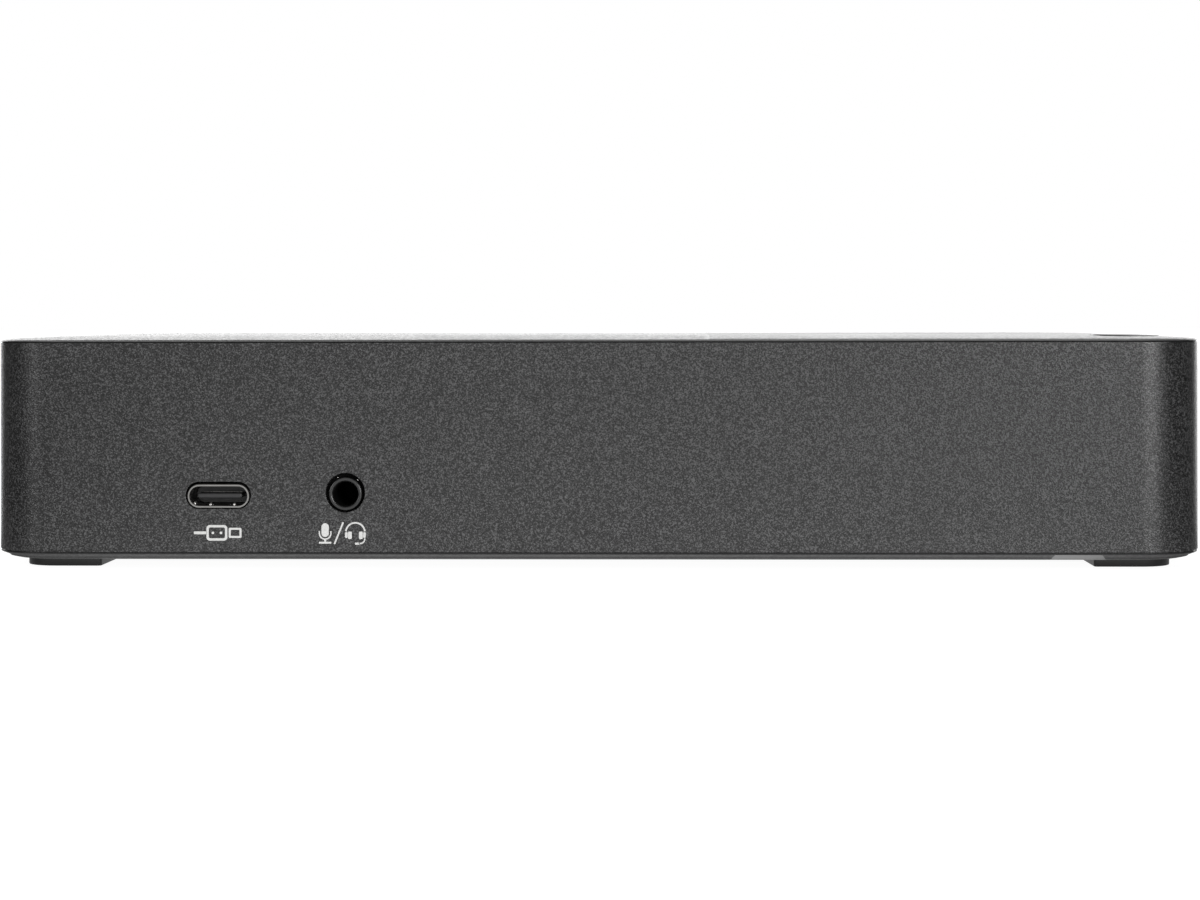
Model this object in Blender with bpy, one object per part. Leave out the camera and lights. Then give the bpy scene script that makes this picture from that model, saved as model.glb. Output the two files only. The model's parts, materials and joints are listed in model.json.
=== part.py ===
"""A laptop docking station: a low box of dark grey plastic on four rubber feet.

Metres, +Z up. The origin is on the desk under the middle of the case. The front, with the headset
socket, faces -Y, and +X is to the right of someone who looks at the front.
"""

import math

import bmesh
import bpy
from mathutils import Vector
from mathutils.geometry import tessellate_polygon

MM = 0.001

# Case, in millimetres
WIDTH, DEPTH, CORNER_R = 180.0, 80.0, 10.0
WALL = 2.2
FLOOR_Z = 1.2  # underside of the bottom cover
SEAM_LOW, SEAM_HIGH = 2.27, 2.47  # groove between the bottom cover and the walls
WALL_TOP, LID_EDGE = 33.40, 33.60  # groove between the walls and the lid
TOP_Z = 34.4
# The lid's upper side, as (inset from the case's outline, z): a bevel, then a slow rise
CROWN = [
    (0.0, 33.74), (0.3, 33.84), (1.6, 33.97), (3.2, 34.06), (5.5, 34.16), (9.0, 34.27),
    (13.0, 34.355), (18.0, TOP_Z),
]
CEILING_Z = 32.4  # underside of the lid
LIP_OUT, LIP_IN = 2.5, 3.7  # insets of the locating lips that both covers carry
CORNER_SEGMENTS = 9

# Sockets on the front
USB_C_X, USB_C_Z = -55.55, 10.75
JACK_X, JACK_Z = -36.75, 11.2
# Sockets on the rear, by the X of their middle
HOST_X, HDMI_1_X, HDMI_2_X, DISPLAY_X = 51.0, 34.0, 15.5, -4.5
ETHERNET_X, USB_A_1_X, USB_A_2_X, DC_X = -27.0, -47.0, -64.5, 66.0
LOCK_Y, LOCK_Z = 10.0, 14.0

# Board and what holds it
BOARD_LOW, BOARD_TOP = 7.25, 8.85
BOARD_SCREWS = [(70.0, 14.0), (-70.0, 14.0), (70.0, -30.0), (-70.0, -30.0)]
FOOT_X, FOOT_Y = 79.9, 25.0
FOOT_W, FOOT_D = 11.9, 20.0
COVER_SCREWS = [(FOOT_X, -FOOT_Y), (-FOOT_X, -FOOT_Y), (FOOT_X, FOOT_Y), (-FOOT_X, FOOT_Y)]

# Button
BUTTON_X, BUTTON_Y, BUTTON_R = 79.6, -29.0, 5.0
GAP = 0.3

for old in list(bpy.data.objects):
    bpy.data.objects.remove(old)

MATERIALS = {}


def material(name, colour, roughness, metallic=0.0):
    made = bpy.data.materials.new(name)
    made.use_nodes = True
    shader = made.node_tree.nodes["Principled BSDF"]
    shader.inputs["Base Color"].default_value = (*colour, 1.0)
    shader.inputs["Roughness"].default_value = roughness
    shader.inputs["Metallic"].default_value = metallic
    made.diffuse_color = (*colour, 1.0)
    MATERIALS[name] = made


material("case_plastic", (0.075, 0.075, 0.076), 0.55)
material("cover_plastic", (0.062, 0.062, 0.063), 0.5)
material("foot_rubber", (0.018, 0.018, 0.018), 0.45)
material("button_plastic", (0.03, 0.03, 0.032), 0.3)
material("socket_plastic", (0.02, 0.02, 0.021), 0.4)
material("socket_steel", (0.62, 0.61, 0.6), 0.28, 1.0)
material("contact_gold", (0.83, 0.62, 0.26), 0.3, 1.0)
material("board_green", (0.02, 0.11, 0.06), 0.45)
material("chip_black", (0.025, 0.025, 0.027), 0.5)
material("pad_grey", (0.42, 0.45, 0.5), 0.8)
material("sink_aluminium", (0.72, 0.73, 0.74), 0.35, 1.0)
material("inductor_grey", (0.16, 0.16, 0.17), 0.65)
material("capacitor_can", (0.6, 0.6, 0.62), 0.3, 1.0)
material("screw_steel", (0.5, 0.5, 0.52), 0.35, 1.0)
material("flex_tan", (0.55, 0.3, 0.1), 0.5)
material("led_white", (0.9, 0.9, 0.86), 0.35)


def new_object(name, bm, slot, smooth=None):
    """Makes the object. smooth is the largest angle in degrees that is shaded as round."""
    bmesh.ops.remove_doubles(bm, verts=bm.verts, dist=1e-7)
    bmesh.ops.recalc_face_normals(bm, faces=bm.faces)
    if bm.calc_volume(signed=True) < 0:
        bmesh.ops.reverse_faces(bm, faces=bm.faces)
    mesh = bpy.data.meshes.new(name)
    bm.to_mesh(mesh)
    bm.free()
    obj = bpy.data.objects.new(name, mesh)
    bpy.context.scene.collection.objects.link(obj)
    if slot:
        mesh.materials.append(MATERIALS[slot])
    if smooth:
        shade(mesh, smooth)
    return obj


def shade(mesh, degrees):
    """Round sides smooth, corners sharper than this angle left as edges."""
    for face in mesh.polygons:
        face.use_smooth = True
    mesh.set_sharp_from_angle(angle=math.radians(degrees))


def arc(cx, cy, radius, start, end, steps):
    """Points on an arc, angles in degrees, both ends included."""
    return [
        (
            cx + radius * math.cos(math.radians(start + (end - start) * i / steps)),
            cy + radius * math.sin(math.radians(start + (end - start) * i / steps)),
        )
        for i in range(steps + 1)
    ]


def rounded(width, height, radius, cx=0.0, cy=0.0, steps=5, radii=None):
    """A rectangle with rounded corners, anticlockwise from its right side. radii: one per corner."""
    out = []
    corners = ((1, 1, 0), (-1, 1, 90), (-1, -1, 180), (1, -1, 270))
    for i, (sx, sy, turn) in enumerate(corners):
        r = radii[i] if radii else radius
        r = max(r, 1e-3)
        x, y = cx + sx * (width / 2 - r), cy + sy * (height / 2 - r)
        out += arc(x, y, r, turn, turn + 90, steps)
    return out


def circle(cx, cy, radius, steps=24):
    return arc(cx, cy, radius, 0, 360 - 360 / steps, steps - 1)


# Where a drawing's (u, v, w) goes: u and v are its plane, w is the way it is pushed out.
PLANES = {
    "Z": lambda u, v, w: (u, v, w),
    "Y": lambda u, v, w: (u, w, v),
    "X": lambda u, v, w: (w, u, v),
}


def add_plate(bm, loops, low, high, plane="Z"):
    """Pushes a flat shape out from low to high. The first loop is its outline and the rest are holes."""
    place = PLANES[plane]
    flat = [p for loop in loops for p in loop]
    ends = []
    for w in (low, high):
        ends.append([bm.verts.new(Vector(place(u, v, w)) * MM) for u, v in flat])
    if len(loops) == 1:
        triangles = [range(len(flat))]
    else:
        triangles = tessellate_polygon([[Vector((u, v, 0)) for u, v in loop] for loop in loops])
    for verts in ends:
        for tri in triangles:
            bm.faces.new([verts[i] for i in tri])
    start = 0
    for loop in loops:
        n = len(loop)
        for i in range(n):
            a, b = start + i, start + (i + 1) % n
            bm.faces.new((ends[0][a], ends[0][b], ends[1][b], ends[1][a]))
        start += n


def add_stack(bm, loops, closed=False):
    """Skins level loops of equal length, each (points, z). Closed joins the last to the first."""
    rings = [[bm.verts.new(Vector((x, y, z)) * MM) for x, y in points] for points, z in loops]
    count = len(rings[0])
    pairs = list(zip(rings, rings[1:]))
    if closed:
        pairs.append((rings[-1], rings[0]))
    for low, high in pairs:
        for i in range(count):
            j = (i + 1) % count
            bm.faces.new((low[i], low[j], high[j], high[i]))
    if not closed:
        bm.faces.new(rings[0])
        bm.faces.new(rings[-1])


def add_lathe(bm, profile, cx, cy, steps=24, plane="Z"):
    """Turns a profile of (radius, w), from axis to axis, about the line through (cx, cy)."""
    place = PLANES[plane]
    rings = []
    for radius, w in profile:
        if radius == 0:
            rings.append([bm.verts.new(Vector(place(cx, cy, w)) * MM)])
            continue
        points = circle(cx, cy, radius, steps)
        rings.append([bm.verts.new(Vector(place(u, v, w)) * MM) for u, v in points])
    for low, high in zip(rings, rings[1:]):
        for i in range(steps):
            j = (i + 1) % steps
            corner = [low[i % len(low)], low[j % len(low)], high[j % len(high)], high[i % len(high)]]
            face = list(dict.fromkeys(corner))
            if len(face) > 2:
                bm.faces.new(face)


def plate(name, slot, loops, low, high, plane="Z", smooth=None):
    bm = bmesh.new()
    add_plate(bm, loops, low, high, plane)
    return new_object(name, bm, slot, smooth)


def lathe(name, slot, profile, cx, cy, steps=24, plane="Z", smooth=35):
    bm = bmesh.new()
    add_lathe(bm, profile, cx, cy, steps, plane)
    return new_object(name, bm, slot, smooth)


def box(bm, low, high):
    add_plate(
        bm,
        [[(low[0], low[1]), (high[0], low[1]), (high[0], high[1]), (low[0], high[1])]],
        low[2],
        high[2],
    )


def apply_boolean(obj, tool, operation):
    """Joins or cuts at once, so that later steps start from one plain mesh."""
    modifier = obj.modifiers.new(operation.lower(), "BOOLEAN")
    modifier.operation = operation
    modifier.solver = "EXACT"
    modifier.object = tool
    graph = bpy.context.evaluated_depsgraph_get()
    graph.update()
    done = bpy.data.meshes.new_from_object(obj.evaluated_get(graph))
    obj.modifiers.clear()
    obj.data = done
    bpy.data.objects.remove(tool)


def join(obj, build):
    bm = bmesh.new()
    build(bm)
    apply_boolean(obj, new_object(obj.name + "_added", bm, None), "UNION")


def cut(obj, build):
    bm = bmesh.new()
    build(bm)
    apply_boolean(obj, new_object(obj.name + "_cutter", bm, None), "DIFFERENCE")


def tidy(obj, slot, smooth):
    """Gives a piece that was cut its material and shading again, and dissolves spare edges."""
    bm = bmesh.new()
    bm.from_mesh(obj.data)
    bmesh.ops.remove_doubles(bm, verts=bm.verts, dist=2e-6)
    bmesh.ops.triangulate(bm, faces=[f for f in bm.faces if len(f.verts) > 4])
    bm.to_mesh(obj.data)
    bm.free()
    obj.data.materials.clear()
    obj.data.materials.append(MATERIALS[slot])
    shade(obj.data, smooth)


def case_loop(inset, z):
    """The case's outline, drawn in by inset, at height z."""
    radius = max(CORNER_R - inset, 0.6)
    points = rounded(
        WIDTH - 2 * inset, DEPTH - 2 * inset, radius, steps=CORNER_SEGMENTS
    )
    return points, z


# ---- Case -------------------------------------------------------------------------------------

def slot_shape(width, height, cx, cz, grow=0.0, steps=6):
    """An upright rounded slot, as of a USB-C shell."""
    return rounded(
        width + 2 * grow, height + 2 * grow, (height / 2 + grow) * 0.98, cx, cz, steps
    )


def hdmi_shape(cx, cz, grow=0.0):
    """Trapezium with its lower corners drawn in, anticlockwise."""
    w, h = 7.5 + grow, 2.8 + grow
    return [
        (cx + w, cz + h),
        (cx - w, cz + h),
        (cx - w, cz - h + 1.9),
        (cx - w + 1.9, cz - h),
        (cx + w - 1.9, cz - h),
        (cx + w, cz - h + 1.9),
    ]


def display_shape(cx, cz, grow=0.0):
    """Rectangle with one lower corner cut off, anticlockwise."""
    w, h = 8.4 + grow, 2.85 + grow
    return [
        (cx + w, cz + h),
        (cx - w, cz + h),
        (cx - w, cz - h),
        (cx + w - 2.2, cz - h),
        (cx + w, cz - h + 2.2),
    ]


HDMI_Z, DISPLAY_Z, USB_A_Z, ETHERNET_Z, DC_Z = 11.95, 12.0, 12.05, 15.95, 13.9


def socket_holes(bm):
    front, rear = (-DEPTH / 2 - 1, -DEPTH / 2 + WALL + 1), (DEPTH / 2 - WALL - 1, DEPTH / 2 + 1)
    add_plate(bm, [slot_shape(8.94, 3.26, USB_C_X, USB_C_Z, 0.2)], *front, "Y")
    add_plate(bm, [circle(JACK_X, JACK_Z, 2.9, 32)], *front, "Y")
    add_plate(bm, [slot_shape(8.94, 3.26, HOST_X, USB_C_Z, 0.25)], *rear, "Y")
    for x in (HDMI_1_X, HDMI_2_X):
        add_plate(bm, [hdmi_shape(x, HDMI_Z, 0.3)], *rear, "Y")
    add_plate(bm, [display_shape(DISPLAY_X, DISPLAY_Z, 0.3)], *rear, "Y")
    add_plate(bm, [rounded(16.6, 14.1, 0.4, ETHERNET_X, ETHERNET_Z, 2)], *rear, "Y")
    for x in (USB_A_1_X, USB_A_2_X):
        add_plate(bm, [rounded(13.74, 6.3, 0.5, x, USB_A_Z, 2)], *rear, "Y")
    add_plate(bm, [circle(DC_X, DC_Z, 4.3, 28)], *rear, "Y")
    add_plate(
        bm,
        [rounded(7.0, 3.0, 0.5, LOCK_Y, LOCK_Z, 2)],
        WIDTH / 2 - WALL - 1,
        WIDTH / 2 + 1,
        "X",
    )


def screw_posts(bm):
    """A hollow post behind each corner, tied to the side wall by a rib."""
    for x, y in COVER_SCREWS:
        side = 1 if x > 0 else -1
        ends = sorted((x + side * 2.5, side * (WIDTH / 2 - WALL + 0.8)))
        add_plate(bm, [circle(x, y, 3.2, 20)], 7.3, 18.0)
        box(bm, (ends[0], y - 0.8, 7.8), (ends[1], y + 0.8, 17.5))


def post_holes(bm):
    for x, y in COVER_SCREWS:
        add_plate(bm, [circle(x, y, 1.35, 16)], 6.0, 16.5)


def build_housing():
    bm = bmesh.new()
    add_stack(
        bm,
        [
            case_loop(0.18, SEAM_HIGH),
            case_loop(0.0, SEAM_HIGH + 0.18),
            case_loop(0.0, WALL_TOP - 0.12),
            case_loop(0.12, WALL_TOP),
            case_loop(WALL, WALL_TOP),
            case_loop(WALL, SEAM_HIGH),
        ],
        closed=True,
    )
    housing = new_object("main_housing", bm, "case_plastic")
    join_bm = bmesh.new()
    screw_posts(join_bm)
    tool = new_object("posts", join_bm, None)
    union_self(tool)
    apply_boolean(housing, tool, "UNION")
    cut(housing, post_holes)
    cut(housing, socket_holes)
    tidy(housing, "case_plastic", 30)


def union_self(obj):
    """Merges the overlapping shapes inside one mesh."""
    bm = bmesh.new()
    box(bm, (0, 0, -900), (1, 1, -899))
    far = new_object("far", bm, None)
    modifier = obj.modifiers.new("merge", "BOOLEAN")
    modifier.operation = "DIFFERENCE"
    modifier.solver = "EXACT"
    modifier.use_self = True
    modifier.object = far
    graph = bpy.context.evaluated_depsgraph_get()
    graph.update()
    done = bpy.data.meshes.new_from_object(obj.evaluated_get(graph))
    obj.modifiers.clear()
    obj.data = done
    bpy.data.objects.remove(far)


def foot_outline(x, y, grow=0.0):
    """A foot's plan: its outer corner is round and follows the case's corner."""
    sx, sy = (1 if x > 0 else -1), (1 if y > 0 else -1)
    wanted = []
    for cx, cy in ((1, 1), (-1, 1), (-1, -1), (1, -1)):
        wanted.append((5.0 if (cx == sx and cy == sy) else 0.9) + grow)
    return rounded(FOOT_W + 2 * grow, FOOT_D + 2 * grow, 1.0, x, y, 5, wanted)


def cover_posts(bm):
    for x, y in COVER_SCREWS:
        add_plate(bm, [circle(x, y, 3.7, 20)], 2.6, 6.9)
    for x, y in BOARD_SCREWS:
        add_plate(bm, [circle(x, y, 2.5, 18)], 2.6, 7.0)


def cover_cuts(bm):
    for x, y in COVER_SCREWS:
        add_plate(bm, [foot_outline(x, y, 0.25)], 0.0, 2.1)


def cover_bores(bm):
    for x, y in COVER_SCREWS:
        add_lathe(bm, [(0, 1.6), (2.75, 1.6), (2.75, 4.2), (1.5, 4.2), (1.5, 8.0), (0, 8.0)], x, y, 20)
    for x, y in BOARD_SCREWS:
        add_plate(bm, [circle(x, y, 1.2, 14)], 3.6, 8.0)
    for i in range(-6, 7):
        if i:
            add_plate(bm, [rounded(1.6, 26.0, 0.78, i * 6.0, 0.0, 3)], 0.0, 4.0)


def pry_notch(bm):
    """A flat facet with slanted ends across the front bevel, near the right foot."""
    y = -DEPTH / 2
    section = [(-1.0, 2.16), (0.28, 2.16), (3.05, 1.16), (3.05, 0.4), (-1.0, 0.4)]
    ends = ((67.2, 74.9), (67.5, 74.4), (66.9, 75.5), (66.9, 75.5), (67.2, 74.9))
    sides = []
    for pick in (0, 1):
        side = [
            bm.verts.new(Vector((ends[i][pick], y + inset, z)) * MM)
            for i, (inset, z) in enumerate(section)
        ]
        sides.append(side)
        bm.faces.new(side)
    for i in range(len(section)):
        j = (i + 1) % len(section)
        bm.faces.new((sides[0][i], sides[0][j], sides[1][j], sides[1][i]))
    bmesh.ops.triangulate(bm, faces=bm.faces)


def build_bottom_cover():
    bm = bmesh.new()
    add_stack(
        bm,
        [
            case_loop(3.3, FLOOR_Z),
            case_loop(2.6, FLOOR_Z + 0.05),
            case_loop(1.44, 1.54),
            case_loop(1.26, 1.72),
            case_loop(0.12, SEAM_LOW - 0.1),
            case_loop(0.25, SEAM_LOW),
            case_loop(LIP_OUT, SEAM_LOW),
            case_loop(LIP_OUT, 4.6),
            case_loop(LIP_IN, 4.6),
            case_loop(LIP_IN, 3.2),
        ],
    )
    cover = new_object("bottom_cover", bm, "cover_plastic")
    join(cover, cover_posts)
    cut(cover, cover_cuts)
    cut(cover, cover_bores)
    cut(cover, pry_notch)
    tidy(cover, "cover_plastic", 30)


def crown_z(x, y):
    """Height of the lid's upper side at a point."""
    inset = min(WIDTH / 2 - abs(x), DEPTH / 2 - abs(y))
    for (low, low_z), (high, high_z) in zip(CROWN, CROWN[1:]):
        if inset <= high:
            return low_z + (high_z - low_z) * (inset - low) / (high - low)
    return TOP_Z


def ridges(bm):
    """Cutter for the fine slanting grooves on the left part of the lid."""
    pitch, half, depth, right = 2.57, 0.52, 0.13, 17.0
    insets = [inset for inset, _ in CROWN[4:]]
    left, back = WIDTH / 2 - insets[0], DEPTH / 2 - insets[0]
    across = Vector((1, 1, 0)).normalized() * half * 3
    for i in range(-60, 61):
        total = i * pitch
        x0, x1 = max(-left, total - back), min(right, total + back)
        if x1 - x0 < 1.5:
            continue
        bends = [inset - WIDTH / 2 for inset in insets]
        bends += [total - side * (DEPTH / 2 - inset) for inset in insets for side in (1, -1)]
        stops = [x0] + sorted(x for x in set(bends) if x0 + 0.4 < x < x1 - 0.4) + [x1]
        rings = []
        for x in stops:
            middle = Vector((x, total - x, crown_z(x, total - x)))
            tri = (
                middle - across + Vector((0, 0, 2 * depth)),
                middle + across + Vector((0, 0, 2 * depth)),
                middle - Vector((0, 0, depth)),
            )
            rings.append([bm.verts.new(p * MM) for p in tri])
        bm.faces.new(rings[0])
        bm.faces.new(rings[-1])
        for a, b in zip(rings, rings[1:]):
            for k in range(3):
                m = (k + 1) % 3
                bm.faces.new((a[k], a[m], b[m], b[k]))


STAKES = [(70.6, -23.6), (70.6, -31.0)]


def lid_posts(bm):
    """Stepped pegs under the lid that hold the button's board."""
    for x, y in STAKES:
        profile = [(0, 24.2), (0.85, 24.2), (0.85, 26.2), (1.8, 26.2), (1.8, 33.0), (0, 33.0)]
        add_lathe(bm, profile, x, y, 16)


def button_hole(bm):
    add_plate(bm, [circle(BUTTON_X, BUTTON_Y, BUTTON_R + 0.28, 40)], 30.0, 36.0)


def build_lid():
    bm = bmesh.new()
    add_stack(
        bm,
        [
            case_loop(LIP_IN, CEILING_Z),
            case_loop(LIP_IN, 30.9),
            case_loop(LIP_OUT, 30.9),
            case_loop(LIP_OUT, LID_EDGE),
            case_loop(0.08, LID_EDGE),
            case_loop(0.0, LID_EDGE + 0.06),
            *[case_loop(inset, z) for inset, z in CROWN],
        ],
    )
    lid = new_object("top_cover", bm, "case_plastic")
    join(lid, lid_posts)
    cut(lid, button_hole)
    cut(lid, ridges)
    tidy(lid, "case_plastic", 14)


build_housing()
build_bottom_cover()
build_lid()

foot_names = ("foot_front_right", "foot_front_left", "foot_rear_right", "foot_rear_left")
for foot_name, (foot_x, foot_y) in zip(foot_names, COVER_SCREWS):
    bm = bmesh.new()
    levels = ((-0.25, 0.0), (0.0, 0.25), (0.0, 1.8))
    add_stack(bm, [(foot_outline(foot_x, foot_y, grow), z) for grow, z in levels])
    new_object(foot_name, bm, "foot_rubber", 35)

# ---- Power button and its switch --------------------------------------------------------------

button = lathe(
    "power_button",
    "button_plastic",
    [
        (0, 30.2), (1.5, 30.2), (1.5, 31.0), (5.9, 31.0), (5.9, 32.05), (BUTTON_R, 32.05),
        (BUTTON_R, 34.12), (BUTTON_R - 0.2, 34.28), (BUTTON_R - 0.9, 34.3), (3.4, 34.2), (0, 34.16),
    ],
    BUTTON_X,
    BUTTON_Y,
    40,
)
for vert in button.data.vertices:  # the cap's face leans with the lid's crown
    x, y, z = vert.co / MM
    if z > 34.0:
        vert.co.z += (0.013 * (y - BUTTON_Y) - 0.017 * (x - BUTTON_X)) * MM
SWITCH_X, SWITCH_Y = BUTTON_X, BUTTON_Y
plate(
    "button_board",
    "board_green",
    [
        rounded(17.0, 13.0, 1.0, 76.0, -27.6, 3),
        *[circle(x, y, 1.15, 12) for x, y in STAKES],
    ],
    24.9,
    25.9,
    smooth=35,
)
bm = bmesh.new()
side = 6.0
add_plate(bm, [rounded(side, side, 0.5, SWITCH_X, SWITCH_Y, 2)], 26.1, 29.2)
switch = new_object("switch_body", bm, "chip_black")
cut(switch, lambda b: add_plate(b, [circle(SWITCH_X, SWITCH_Y, 2.0, 20)], 26.9, 30.0))
tidy(switch, "chip_black", 35)
lathe(
    "switch_plunger",
    "socket_plastic",
    [(0, 27.8), (1.7, 27.8), (1.7, 29.75), (1.55, 29.9), (0, 29.9)],
    SWITCH_X,
    SWITCH_Y,
    20,
)
plate("button_led", "led_white", [rounded(1.6, 3.2, 0.2, 74.6, -27.6, 2)], 26.1, 27.0)


def ribbon(bm):
    """A flat flexible cable that loops down from the button's board to the main board."""
    path = [(72.6, 24.6), (70.8, 24.6)] + arc(66.5, 21.0, 3.6, 60, 170, 7)
    path += [(62.6, 16.0)] + arc(60.6, 12.6, 2.6, 10, -80, 5)[1:-1] + [(59.4, 10.6)]
    points = [Vector((x, 0, z)) for x, z in path]
    upper, lower = [], []
    for i, point in enumerate(points):
        before, after = points[max(i - 1, 0)], points[min(i + 1, len(points) - 1)]
        along = (after - before).normalized()
        out = Vector((-along.z, 0, along.x)) * 0.15
        upper.append((point + out).xz)
        lower.append((point - out).xz)
    outline = [tuple(p) for p in upper + lower[::-1]]
    add_plate(bm, [outline], -29.7, -25.3, "Y")


bm = bmesh.new()
ribbon(bm)
new_object("ribbon_cable", bm, "flex_tan", 40)
plate("ribbon_connector", "socket_plastic", [rounded(4.0, 8.4, 0.4, 57.1, -27.6, 2)], 9.1, 11.6)

# ---- Main board -------------------------------------------------------------------------------

board_outline = [
    (74.0, -36.4), (74.0, 37.0), (-74.0, 37.0), (-74.0, -36.4),
    (JACK_X - 3.7, -36.4), (JACK_X - 3.7, -23.6), (JACK_X + 3.7, -23.6), (JACK_X + 3.7, -36.4),
]
plate(
    "main_board",
    "board_green",
    [board_outline, *[circle(x, y, 1.6, 14) for x, y in BOARD_SCREWS]],
    BOARD_LOW,
    BOARD_TOP,
    smooth=35,
)


def chip(name, slot, x, y, width, depth, height, chamfer=0.25):
    low = BOARD_TOP + 0.2
    bm = bmesh.new()
    add_stack(
        bm,
        [
            (rounded(width, depth, 0.3, x, y, 2), low),
            (rounded(width, depth, 0.3, x, y, 2), low + height - chamfer),
            (rounded(width - 2 * chamfer, depth - 2 * chamfer, 0.25, x, y, 2), low + height),
        ],
    )
    return new_object(name, bm, slot, 35)


SINK_X, SINK_Y = 18.0, -4.0
chip("video_chip", "chip_black", SINK_X, SINK_Y, 17.0, 17.0, 1.4)
chip("hub_chip", "chip_black", -14.0, -6.0, 9.0, 9.0, 0.95)
chip("network_chip", "chip_black", -32.0, -4.0, 7.0, 7.0, 0.95)
chip("network_transformer", "chip_black", -28.0, 12.5, 15.0, 9.0, 4.8, 0.5)
chip("inductor_1", "inductor_grey", 57.0, 9.5, 7.0, 7.0, 3.4, 0.6)
chip("inductor_2", "inductor_grey", 57.0, 0.5, 7.0, 7.0, 3.4, 0.6)
plate("thermal_pad", "pad_grey", [rounded(16.0, 16.0, 0.8, SINK_X, SINK_Y, 3)], 10.65, 11.55)


def heat_sink(bm):
    """A base plate with upright fins, drawn as one outline and pushed out along Y."""
    low, base, top, pitch, fins, half = 11.75, 13.6, 23.6, 5.0, 9, 0.75
    first = SINK_X - pitch * (fins - 1) / 2
    outline = [(first - half, low), (first + pitch * (fins - 1) + half, low)]
    for i in reversed(range(fins)):
        x = first + i * pitch
        outline += [(x + half, top), (x - half, top)]
        if i:
            outline += [(x - half, base), (x - pitch + half, base)]
    add_plate(bm, [outline], SINK_Y - 18.0, SINK_Y + 18.0, "Y")


bm = bmesh.new()
heat_sink(bm)
new_object("heat_sink", bm, "sink_aluminium")
for i, (x, y) in enumerate(((52.6, -10.5), (60.4, -10.5))):
    lathe(
        f"capacitor_{i + 1}",
        "capacitor_can",
        [(0, 9.1), (3.1, 9.1), (3.1, 9.9), (2.85, 10.2), (3.1, 10.5), (3.1, 16.3), (2.8, 16.6), (0, 16.6)],
        x,
        y,
        20,
    )


def screw(name, x, y, seat, head_r, head_h, shank_r, tip, upward):
    """A pan screw with a cross recess. Upward: its tip is above its head."""
    way = 1 if upward else -1
    face, under = seat - way * head_h, seat
    profile = [
        (0, face), (head_r * 0.8, face), (head_r, face + way * head_h * 0.35), (head_r, under),
        (shank_r, under), (shank_r, tip - way * 0.5), (shank_r * 0.5, tip), (0, tip),
    ]
    made = lathe(name, "screw_steel", profile, x, y, 16)

    def recess(b):
        bottom = sorted((face - way * 0.5, face + way * head_h * 0.55))
        arm, half = head_r * 0.55, head_r * 0.13
        cross = [
            (arm, -half), (arm, half), (half, half), (half, arm), (-half, arm), (-half, half),
            (-arm, half), (-arm, -half), (-half, -half), (-half, -arm), (half, -arm), (half, -half),
        ]
        add_plate(b, [[(x + u, y + v) for u, v in cross]], *bottom)

    cut(made, recess)
    tidy(made, "screw_steel", 35)


for i, (x, y) in enumerate(BOARD_SCREWS):
    screw(f"board_screw_{i + 1}", x, y, BOARD_TOP + 0.15, 2.5, 1.5, 0.95, 4.4, False)
for i, (x, y) in enumerate(COVER_SCREWS):
    screw(f"cover_screw_{i + 1}", x, y, 3.95, 2.4, 1.5, 1.1, 15.4, True)

# ---- Sockets ----------------------------------------------------------------------------------


def along(face_y, inward, depth):
    """The two Y ends of something that starts at face_y and goes in by depth."""
    return sorted((face_y, face_y + inward * depth))


def tube(name, slot, outer, inner, face_y, inward, depth):
    return plate(name, slot, [outer, inner], *along(face_y, inward, depth), "Y", 35)


def tongue(name, plug, blade, face_y, inward, depth, blade_start, plug_depth):
    """A plug that fills the rear of a shell, with the contact blade standing out of it."""
    bm = bmesh.new()
    rear = face_y + inward * depth
    add_plate(bm, [plug], *along(rear, -inward, plug_depth), "Y")
    made = new_object(name, bm, "socket_plastic")
    blade_depth = depth - blade_start - plug_depth / 2

    def add(b):
        add_plate(b, [blade], *along(face_y + inward * blade_start, inward, blade_depth), "Y")

    join(made, add)
    tidy(made, "socket_plastic", 35)


def usb_c(name, x, face_y, inward):
    depth = 7.4
    z = USB_C_Z
    tube(
        name + "_shell", "socket_steel",
        slot_shape(8.94, 3.26, x, z), slot_shape(8.34, 2.66, x, z), face_y, inward, depth,
    )
    plug = slot_shape(8.34, 2.66, x, z, -0.12)
    blade = rounded(6.5, 0.72, 0.2, x, z, 2)
    tongue(name + "_tongue", plug, blade, face_y, inward, depth, 1.0, 1.5)


FRONT, REAR = -DEPTH / 2 + 0.12, DEPTH / 2 - 0.2
usb_c("front_usb_c", USB_C_X, FRONT, 1)
usb_c("host_usb_c", HOST_X, REAR, -1)

for number, x in ((1, HDMI_1_X), (2, HDMI_2_X)):
    tube(
        f"hdmi_{number}_shell", "socket_steel",
        hdmi_shape(x, HDMI_Z), hdmi_shape(x, HDMI_Z, -0.4), REAR, -1, 11.5,
    )
    tongue(
        f"hdmi_{number}_tongue", hdmi_shape(x, HDMI_Z, -0.55),
        rounded(10.6, 1.1, 0.2, x, HDMI_Z + 0.35, 2), REAR, -1, 11.5, 1.2, 2.0,
    )
tube(
    "displayport_shell", "socket_steel",
    display_shape(DISPLAY_X, DISPLAY_Z), display_shape(DISPLAY_X, DISPLAY_Z, -0.4), REAR, -1, 13.0,
)
tongue(
    "displayport_tongue", display_shape(DISPLAY_X, DISPLAY_Z, -0.55),
    rounded(12.2, 1.2, 0.2, DISPLAY_X, DISPLAY_Z + 0.6, 2), REAR, -1, 13.0, 1.4, 2.0,
)
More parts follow.
